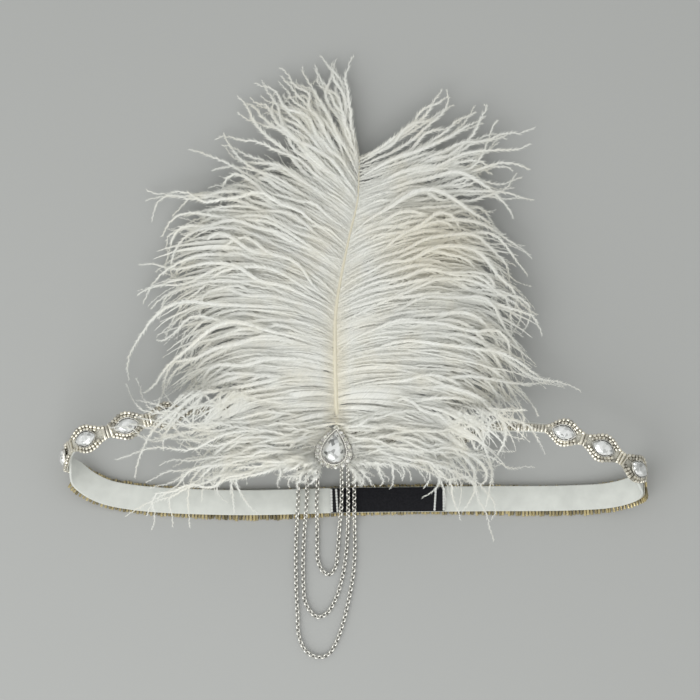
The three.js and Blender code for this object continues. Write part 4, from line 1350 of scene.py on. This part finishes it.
def over_band(points, clear_jewel):
    """Lifts points that would pass through the front band or its stones: where a point lies within the
    band's width of its middle line, it stays at least as high as the beads' tops, and that height fades
    beyond. Barbs that don't grow beside the jewel stay above an oval dome over it too."""
    bead_top, clear, fade = 5.6 * MM, 8.5 * MM, 7 * MM
    jewel_top, half_width, half_length = 9.2 * MM, 11 * MM, 12 * MM
    station = np.linspace(-150 * MM, 156 * MM, 160)
    shape = points.shape
    flat = points.reshape(-1, 3)
    top = set_out(front_frames(station), np.zeros(len(station)), np.full(len(station), bead_top))
    order = np.argsort(top[:, 0])
    line_y = np.interp(flat[:, 0], top[order, 0], top[order, 1])
    line_z = np.interp(flat[:, 0], top[order, 0], top[order, 2])
    near = eased(1 - (np.abs(flat[:, 1] - line_y) - clear) / fade)
    lifted = np.maximum(flat[:, 2], line_z * near)
    if not clear_jewel:
        return np.column_stack([flat[:, :2], lifted]).reshape(shape)
    drop = settings().stones.jewel_drop
    seat = set_out(front_frames([0.0]), np.array([-drop]), np.array([jewel_top]))[0]
    away = np.hypot((flat[:, 0] - seat[0]) / half_width, (flat[:, 1] - seat[1]) / half_length)
    room = np.clip(1.6 - away, 0, 0.6) / 0.6
    return np.column_stack([flat[:, :2], np.maximum(lifted, seat[2] * room)]).reshape(shape)


# Places along each barb, and the share of most kinds that belongs to the plume's low pieces.
BARB_STEPS = 22
LOW_SHARE = 0.42

# The least heights above the table of a barb's middle line and of its strip and barbules.
BARB_CLEARANCE = 0.9 * MM
STRIP_CLEARANCE = 0.15 * MM

# Kinds of barb: the places along the shaft where they grow, their reach as a share of the table's, the
# share of them that reach a fifth further, how much of the reach is left at the plume's top, how far they
# stray in degrees, how wavy they are, the mean and spread of the hook at the tip in degrees, how far they
# are drawn to their tuft, how many make one tuft, how far their heights differ and how deep they lie in
# millimetres, half the strip's width in millimetres, how many barbule pitches lie between two barbules,
# the angles of the barbules in degrees, and if they come out round the jewel's side.
BARB_KINDS = {
    "web": {
        "at": (0.0, 0.84), "reach": (0.46, 0.9), "far": 0, "top": 0.5, "stray": 2.0, "wave": 0.2,
        "hook": (14, 8), "pull": (0, 0.15), "tuft": 6, "layer": 0.4, "depth": 0.9, "strip": 1.45,
        "every": 6.0, "barbules": (6, 20), "round": False,
    },
    "fill": {
        "at": (0.0, 0.88), "reach": (0.52, 0.96), "far": 0, "top": 0.62, "stray": 3.0, "wave": 0.5,
        "hook": (26, 26), "pull": (0, 0.6), "tuft": 4, "layer": 0.7, "depth": 0.1, "strip": 0.32,
        "every": 2.3, "barbules": (6, 24), "round": False,
    },
    "long": {
        "at": (0.0, 0.92), "reach": (0.78, 1.12), "far": 0.12, "top": 1.0, "stray": 6.0, "wave": 1.9,
        "hook": (58, 56), "pull": (0.4, 0.9), "tuft": 2.6, "layer": 1.3, "depth": -0.4, "strip": 0.7,
        "every": 1.0, "barbules": (14, 40), "round": False,
    },
    "crown": {
        "at": (0.82, 1.0), "reach": (0.8, 1.14), "far": 0, "top": 1.0, "stray": 5.0, "wave": 1.6,
        "hook": (-6, 52), "pull": (0.4, 0.9), "tuft": 2.3, "layer": 1.2, "depth": -0.4, "strip": 0.66,
        "every": 1.0, "barbules": (14, 40), "round": False,
    },
    "foot": {
        "at": (0.0, 0.03), "reach": (0.3, 1.06), "far": 0, "top": 1.0, "stray": 6.0, "wave": 1.7,
        "hook": (10, 60), "pull": (0, 0.7), "tuft": 3, "layer": 1.4, "depth": -0.4, "strip": 0.38,
        "every": 1.2, "barbules": (14, 40), "round": True,
    },
}


def barbs(side, name, count, rng):
    """The barbs of one kind and side, drawn together into tufts: each barb's line moves towards its tuft's
    line, the more the further out, but loosens near the tip. Returns points and each barb's tone, which is
    random and partly painted shade, darker for barbs lying lower."""
    kind = BARB_KINDS[name]
    v = np.linspace(0, 1, BARB_STEPS)
    low, high = kind["at"]
    even = (np.arange(count) + rng.uniform(0, 1, count)) / count
    at = np.clip(low + (high - low) * even**0.85, 0.003, 1.0)
    own = barb_curves(side, at, v, rng, kind)
    tufts = max(2, int(count / kind["tuft"]))
    centres = low + (high - low) * (np.arange(tufts) + rng.uniform(0.2, 0.8, tufts)) / tufts
    tuft = barb_curves(side, np.clip(centres, 0.003, 1.0), v, rng, kind)
    pick = np.abs(at[:, None] - centres[None]).argmin(1)
    if kind["round"]:
        pick = np.abs(own[:, -1, None] - tuft[None, :, -1]).sum(2).argmin(1)
    pull = rng.uniform(*kind["pull"], (count, 1)) * v**1.2 * (1 - 0.45 * np.clip((v - 0.7) / 0.3, 0, 1))
    points = own + (tuft[pick] - own) * pull[..., None]
    layer = rng.uniform(-1, 1, count)
    depth = (layer[:, None] * kind["layer"] - kind["depth"]) * MM
    points[..., 2] += depth * np.sin(math.pi * np.clip(v * 1.15, 0, 1)) ** 0.6
    points = above_table(over_band(points, not kind["round"]), BARB_CLEARANCE)
    # The tone is random, and partly painted shade: barbs that lie lower in the layers are darker.
    tone = np.clip(0.5 + 0.14 * layer + rng.normal(0, 0.16, count), 0, 1)
    return points, tone


def barb_mesh(points, tone, kind, rng):
    """Barbs with their barbules. A barb is a flat strip with four sides that tapers to its tip, with UV in
    metres along and across. A barbule is a long thin tetrahedron: it leaves the barb at an angle, to one
    side, and lies nearly level. Barbules are longest in the barb's middle."""
    sizes = settings().plume
    count, steps = points.shape[:2]
    ahead = unit(np.gradient(points, axis=1))
    side, up = side_and_up(ahead)
    v = np.linspace(0, 1, steps)
    broad = kind["strip"] * rng.uniform(0.7, 1.25, (count, 1))
    taper = np.minimum(1, 0.3 + 5 * v) * (0.42 + 0.58 * np.sin(math.pi * v)) * (1 - v**3) + 0.06
    half = (broad * taper)[:, :, None, None] * MM
    tilt = rng.normal(0, 0.12, (count, 1, 1))
    side, up = side * np.cos(tilt) + up * np.sin(tilt), up * np.cos(tilt) - side * np.sin(tilt)
    diamond = np.array([(1, 0), (0, 1), (-1, 0), (0, -1)])
    thick = np.minimum(half * 0.34, 0.2 * MM)
    strip = half * side[:, :, None] * diamond[:, :1] + thick * up[:, :, None] * diamond[:, 1:]
    strip = strip + points[:, :, None]
    faces, corners = grid_faces(steps, 4, wrap_columns=True)
    ends = capped(steps, 4)
    offset = (np.arange(count) * steps * 4)[:, None, None]
    strips = strip.reshape(-1, 3)
    strip_faces = np.concatenate([(block[None] + offset).reshape(-1, 4) for block in (faces, ends)])
    strip_tone = np.repeat(tone, steps * 4)

    strides = np.linalg.norm(np.diff(points, axis=1), axis=2)
    run = np.concatenate([np.zeros((count, 1)), np.cumsum(strides, 1)], 1)
    along = run[:, corners[..., 0]] + rng.uniform(0, 1, (count, 1, 1))
    across = half[:, :, 0, 0][:, corners[..., 0]] * np.cos(corners[..., 1] * math.pi / 2) + along
    uv = np.stack([along, across], -1).reshape(-1, 4, 2)
    uv = np.concatenate([uv, np.zeros((2 * count, 4, 2))])

    number = np.maximum((run[:, -1] / sizes.barbule_pitch / kind["every"]).astype(int), 2)
    owner = np.repeat(np.arange(count), number)
    index = np.arange(len(owner)) - np.repeat(np.cumsum(number) - number, number)
    place = (index + rng.uniform(0.1, 0.9, len(owner))) / number[owner] * (steps - 1.001)
    low = place.astype(int)
    part = (place - low)[:, None]
    share = place / (steps - 1)

    def at(values):
        return values[owner, low] * (1 - part) + values[owner, low + 1] * part

    forward, level, normal = unit(at(ahead)), unit(at(side)), unit(at(up))
    way = np.where(rng.random(len(owner)) < 0.5, -1.0, 1.0)[:, None]
    spread = np.radians(rng.uniform(*kind["barbules"], len(owner)))[:, None]
    rise = rng.normal(0, 0.16, (len(owner), 1))
    pointing = unit(forward * np.cos(spread) + level * way * np.sin(spread) + normal * rise)
    long = sizes.barbule * (0.4 + 0.75 * np.sin(math.pi * np.clip(share * 0.88 + 0.1, 0, 1)))
    long = (long * rng.uniform(0.7, 1.25, len(owner)))[:, None]
    root = at(points) + level * way * at(half[:, :, 0]) * 0.6
    width = unit(np.cross(pointing, normal)) * 0.2 * MM
    crown = root + pointing * long * 0.25 + normal * 0.14 * MM
    corners = np.stack([root + width, root - width, crown, root + pointing * long], 1)
    tips = corners.reshape(-1, 3)
    triangles = np.array([(0, 1, 2), (0, 3, 1), (1, 3, 2), (2, 3, 0)])
    tip_faces = (triangles[None] + (np.arange(len(owner)) * 4)[:, None, None] + len(strips)).reshape(-1, 3)
    tip_tone = np.repeat(np.clip(tone[owner] + rng.normal(0, 0.1, len(owner)), 0, 1), 4)
    shape = np.concatenate([strips, tips])
    return shape, [strip_faces, tip_faces], np.concatenate([strip_tone, tip_tone]), uv


class HEADBAND_OT_plume(bpy.types.Operator):
    """Grows the plume's barbs on both sides of the shaft"""

    bl_idname = "headband.plume"
    bl_label = "Plume"

    def execute(self, context):
        finish = down_finish()
        sizes = settings().plume
        counts = {
            "web": sizes.web_barbs, "fill": sizes.fill_barbs, "long": sizes.long_barbs,
            "crown": sizes.crown_barbs, "foot": sizes.foot_barbs,
        }
        for k, side in enumerate(SIDES):
            rng = np.random.default_rng(sizes.seed + k)
            grown = {"low": [], "high": []}
            for name, count in counts.items():
                points, tone = barbs(side, name, count, rng)
                low = {"foot": count, "crown": 0}.get(name, int(count * LOW_SHARE))
                for level, part in (("low", slice(0, low)), ("high", slice(low, count))):
                    if len(points[part]):
                        grown[level].append(barb_mesh(points[part], tone[part], BARB_KINDS[name], rng))
            for level, nodes in (("low", [f"vane_{side}_low"]), ("high", [f"vane_{side}"])):
                shapes, faces, tones, uvs = zip(*grown[level])
                shape, faces = joined(zip(shapes, faces))
                shape = above_table(shape, STRIP_CLEARANCE)
                new_piece(
                    f"plume_{side}_{level}", shape, faces, finish, "down", nodes,
                    tone=np.concatenate(tones), uv=np.concatenate(uvs), smooth=False,
                )
        return {"FINISHED"}


# The chains

# How far a link is turned about the chain's line, one way and the other by turns.
LINK_TURN = 0.72


def chain_link(sizes):
    """A link on its own axes: wire of six sides along a long ring, two half circles joined by straight sides.
    Its length lies along X and its width along Y. Also gives each point's tone, which is painted shade: dark
    on the wire's inner side, where the link shades itself, and a painted highlight on its outer side."""
    bend = (sizes.width - sizes.wire) / 2
    straight = (sizes.length - sizes.width) / 2
    steps, sides = 14, 6
    turns = even_turns(steps) + math.pi / steps
    ring = np.stack([np.cos(turns) * bend + np.sign(np.cos(turns)) * straight, np.sin(turns) * bend], -1)
    outward = np.stack([np.cos(turns), np.sin(turns)], -1)
    wire = circle(sides)
    flat = ring[:, None] + outward[:, None] * wire[None, :, :1] * sizes.wire / 2
    height = np.broadcast_to(wire[None, :, 1:] * sizes.wire / 2, (*flat.shape[:2], 1))
    faces, _ = grid_faces(steps, sides, wrap_rows=True, wrap_columns=True)
    tone = np.tile(0.5 + 0.5 * wire[:, 0], steps)
    return np.concatenate([flat, height], -1).reshape(-1, 3), [faces], tone


class HEADBAND_OT_chains(bpy.types.Operator):
    """Hangs the three chain swags from the band's lower edge"""

    bl_idname = "headband.chains"
    bl_label = "Chains"

    def execute(self, context):
        part = settings()
        sizes, band = part.chains, part.band
        shape, faces, painted_shade = chain_link(sizes)
        seat = trim_heights(band)[0]
        for number, (name, (start, end, route)) in enumerate(SWAGS.items()):
            stations = np.array([start, start, end, end]) * MM
            drop = -band.ribbon_front / 2 - band.gap - np.array([0, 2, 2, 0]) * MM
            edge = set_out(front_frames(stations), drop, np.full(4, seat - band.gap - 1.2 * MM))
            line = smooth_line(np.vstack([edge[:2], np.array(route) * MM, edge[2:]]))
            length = line[1][-1]
            count = int(length / sizes.pitch)
            along = (np.arange(count) + 0.5) * length / count
            points = on_line(line, along)
            ahead = unit(on_line(line, along + 0.5 * MM) - on_line(line, along - 0.5 * MM))
            level, up = side_and_up(ahead)
            rng = np.random.default_rng(31 + number)
            odd = np.arange(count) % 2
            turn = np.where(odd, LINK_TURN, -LINK_TURN) + rng.normal(0, 0.1, count)
            side = level * np.cos(turn)[:, None] + up * np.sin(turn)[:, None]
            axes = np.stack([ahead, side, np.cross(ahead, side)], 1)
            links, blocks = repeated(shape, faces, points, axes, np.ones((count, 3)))
            links = above_table(links, 0.03 * MM)
            # Painted shade: every other link is darker, and each link is darker on its wire's inner side.
            tone = (painted_shade[None] * np.where(odd, 1.0, 0.6)[:, None]).ravel()
            finish = shaded_silver_finish()
            new_piece(f"{name}_links", links, blocks, finish, "silver", [name], tone=tone, sharp=0)
        return {"FINISHED"}


# The stage

class HEADBAND_OT_stage(bpy.types.Operator):
    """Sets up the table, the lights and the camera"""

    bl_idname = "headband.stage"
    bl_label = "Stage"

    def execute(self, context):
        part = settings()
        stage, scene = part.stage, context.scene
        self.floor(part)
        self.light("key_light", stage.key, 1.1, (-0.45, -0.68, 0.75), (0.99, 1.0, 0.985))
        self.light("top_light", stage.top, 0.5, (-0.35, -0.25, 2.4), (1.0, 1.0, 0.99))
        world = bpy.data.worlds.new("room")
        world.use_nodes = True
        back = world.node_tree.nodes["Background"]
        back.inputs["Color"].default_value = (0.985, 1.0, 0.98, 1)
        back.inputs["Strength"].default_value = stage.world
        scene.world = world
        scene.view_settings.view_transform = "Standard"
        data = bpy.data.cameras.new("camera")
        data.sensor_width = 36.0
        measured_at = 5 * MM
        data.lens = data.sensor_width * (stage.height - measured_at) / stage.view_width
        data.clip_end = 20.0
        camera = bpy.data.objects.new("camera", data)
        camera.location = (stage.centre_x, stage.centre_y, stage.height)
        scene.collection.objects.link(camera)
        scene.camera = camera
        return {"FINISHED"}

    def floor(self, part):
        """A large level table top with the faintest grain."""
        size, base = 4.0, part.colours.floor
        finish = Finish("pale grey table", base, roughness=0.9, specular_ior_level=0.1)
        if finish.made:
            finish.colour(finish.mix(finish.noise(3.0, 2.0), shade(base, 0.985), shade(base, 1.015)))
        mesh = bpy.data.meshes.new("table")
        edges = [(-size, -size, 0), (size, -size, 0), (size, size, 0), (-size, size, 0)]
        mesh.from_pydata(edges, [], [(0, 1, 2, 3)])
        mesh.materials.append(finish.material)
        table = bpy.data.objects.new("table", mesh)
        bpy.context.scene.collection.objects.link(table)

    def light(self, name, power, size, place, colour):
        """A square light that faces the object."""
        data = bpy.data.lights.new(name, "AREA")
        data.energy, data.size, data.color = power, size, colour
        lamp = bpy.data.objects.new(name, data)
        x, y, z = place
        lamp.location = place
        away = math.hypot(x, y)
        lamp.rotation_euler = (math.atan2(away, z), 0, math.atan2(x, -y))
        bpy.context.scene.collection.objects.link(lamp)


class HEADBAND_PT_panel(bpy.types.Panel):
    """Lists the headband's operators and settings"""

    bl_idname = "HEADBAND_PT_panel"
    bl_label = "Flapper headband"
    bl_space_type = "VIEW_3D"
    bl_region_type = "UI"
    bl_category = "Headband"

    def draw(self, context):
        for operator in OPERATORS:
            self.layout.operator(operator.bl_idname)
        for group in ("band", "beads", "stones", "plume", "chains", "colours", "stage"):
            box = self.layout.box()
            box.label(text=group.title())
            held = getattr(context.scene.headband, group)
            for key in held.bl_rna.properties.keys():
                if key not in ("rna_type", "name"):
                    box.prop(held, key)


GROUPS = (
    HEADBAND_PG_band, HEADBAND_PG_beads, HEADBAND_PG_stones, HEADBAND_PG_plume, HEADBAND_PG_chains,
    HEADBAND_PG_colours, HEADBAND_PG_stage, HEADBAND_PG_settings,
)
OPERATORS = (
    HEADBAND_OT_stage, HEADBAND_OT_ribbon, HEADBAND_OT_label, HEADBAND_OT_front_trim,
    HEADBAND_OT_back_trim, HEADBAND_OT_stones, HEADBAND_OT_jewel, HEADBAND_OT_shaft, HEADBAND_OT_plume,
    HEADBAND_OT_chains,
)


def register():
    """Registers the classes and puts the settings on the scene."""
    for made in (*GROUPS, *OPERATORS, HEADBAND_PT_panel):
        bpy.utils.register_class(made)
    bpy.types.Scene.headband = PointerProperty(type=HEADBAND_PG_settings)


def unregister():
    """Takes the settings off the scene and unregisters the classes."""
    del bpy.types.Scene.headband
    for made in reversed((*GROUPS, *OPERATORS, HEADBAND_PT_panel)):
        bpy.utils.unregister_class(made)


def main():
    register()
    bpy.ops.headband.stage()
    bpy.ops.headband.ribbon()
    bpy.ops.headband.label()
    bpy.ops.headband.front_trim()
    bpy.ops.headband.back_trim()
    bpy.ops.headband.stones()
    bpy.ops.headband.jewel()
    bpy.ops.headband.shaft()
    bpy.ops.headband.plume()
    bpy.ops.headband.chains()


if __name__ == "__main__":
    main()
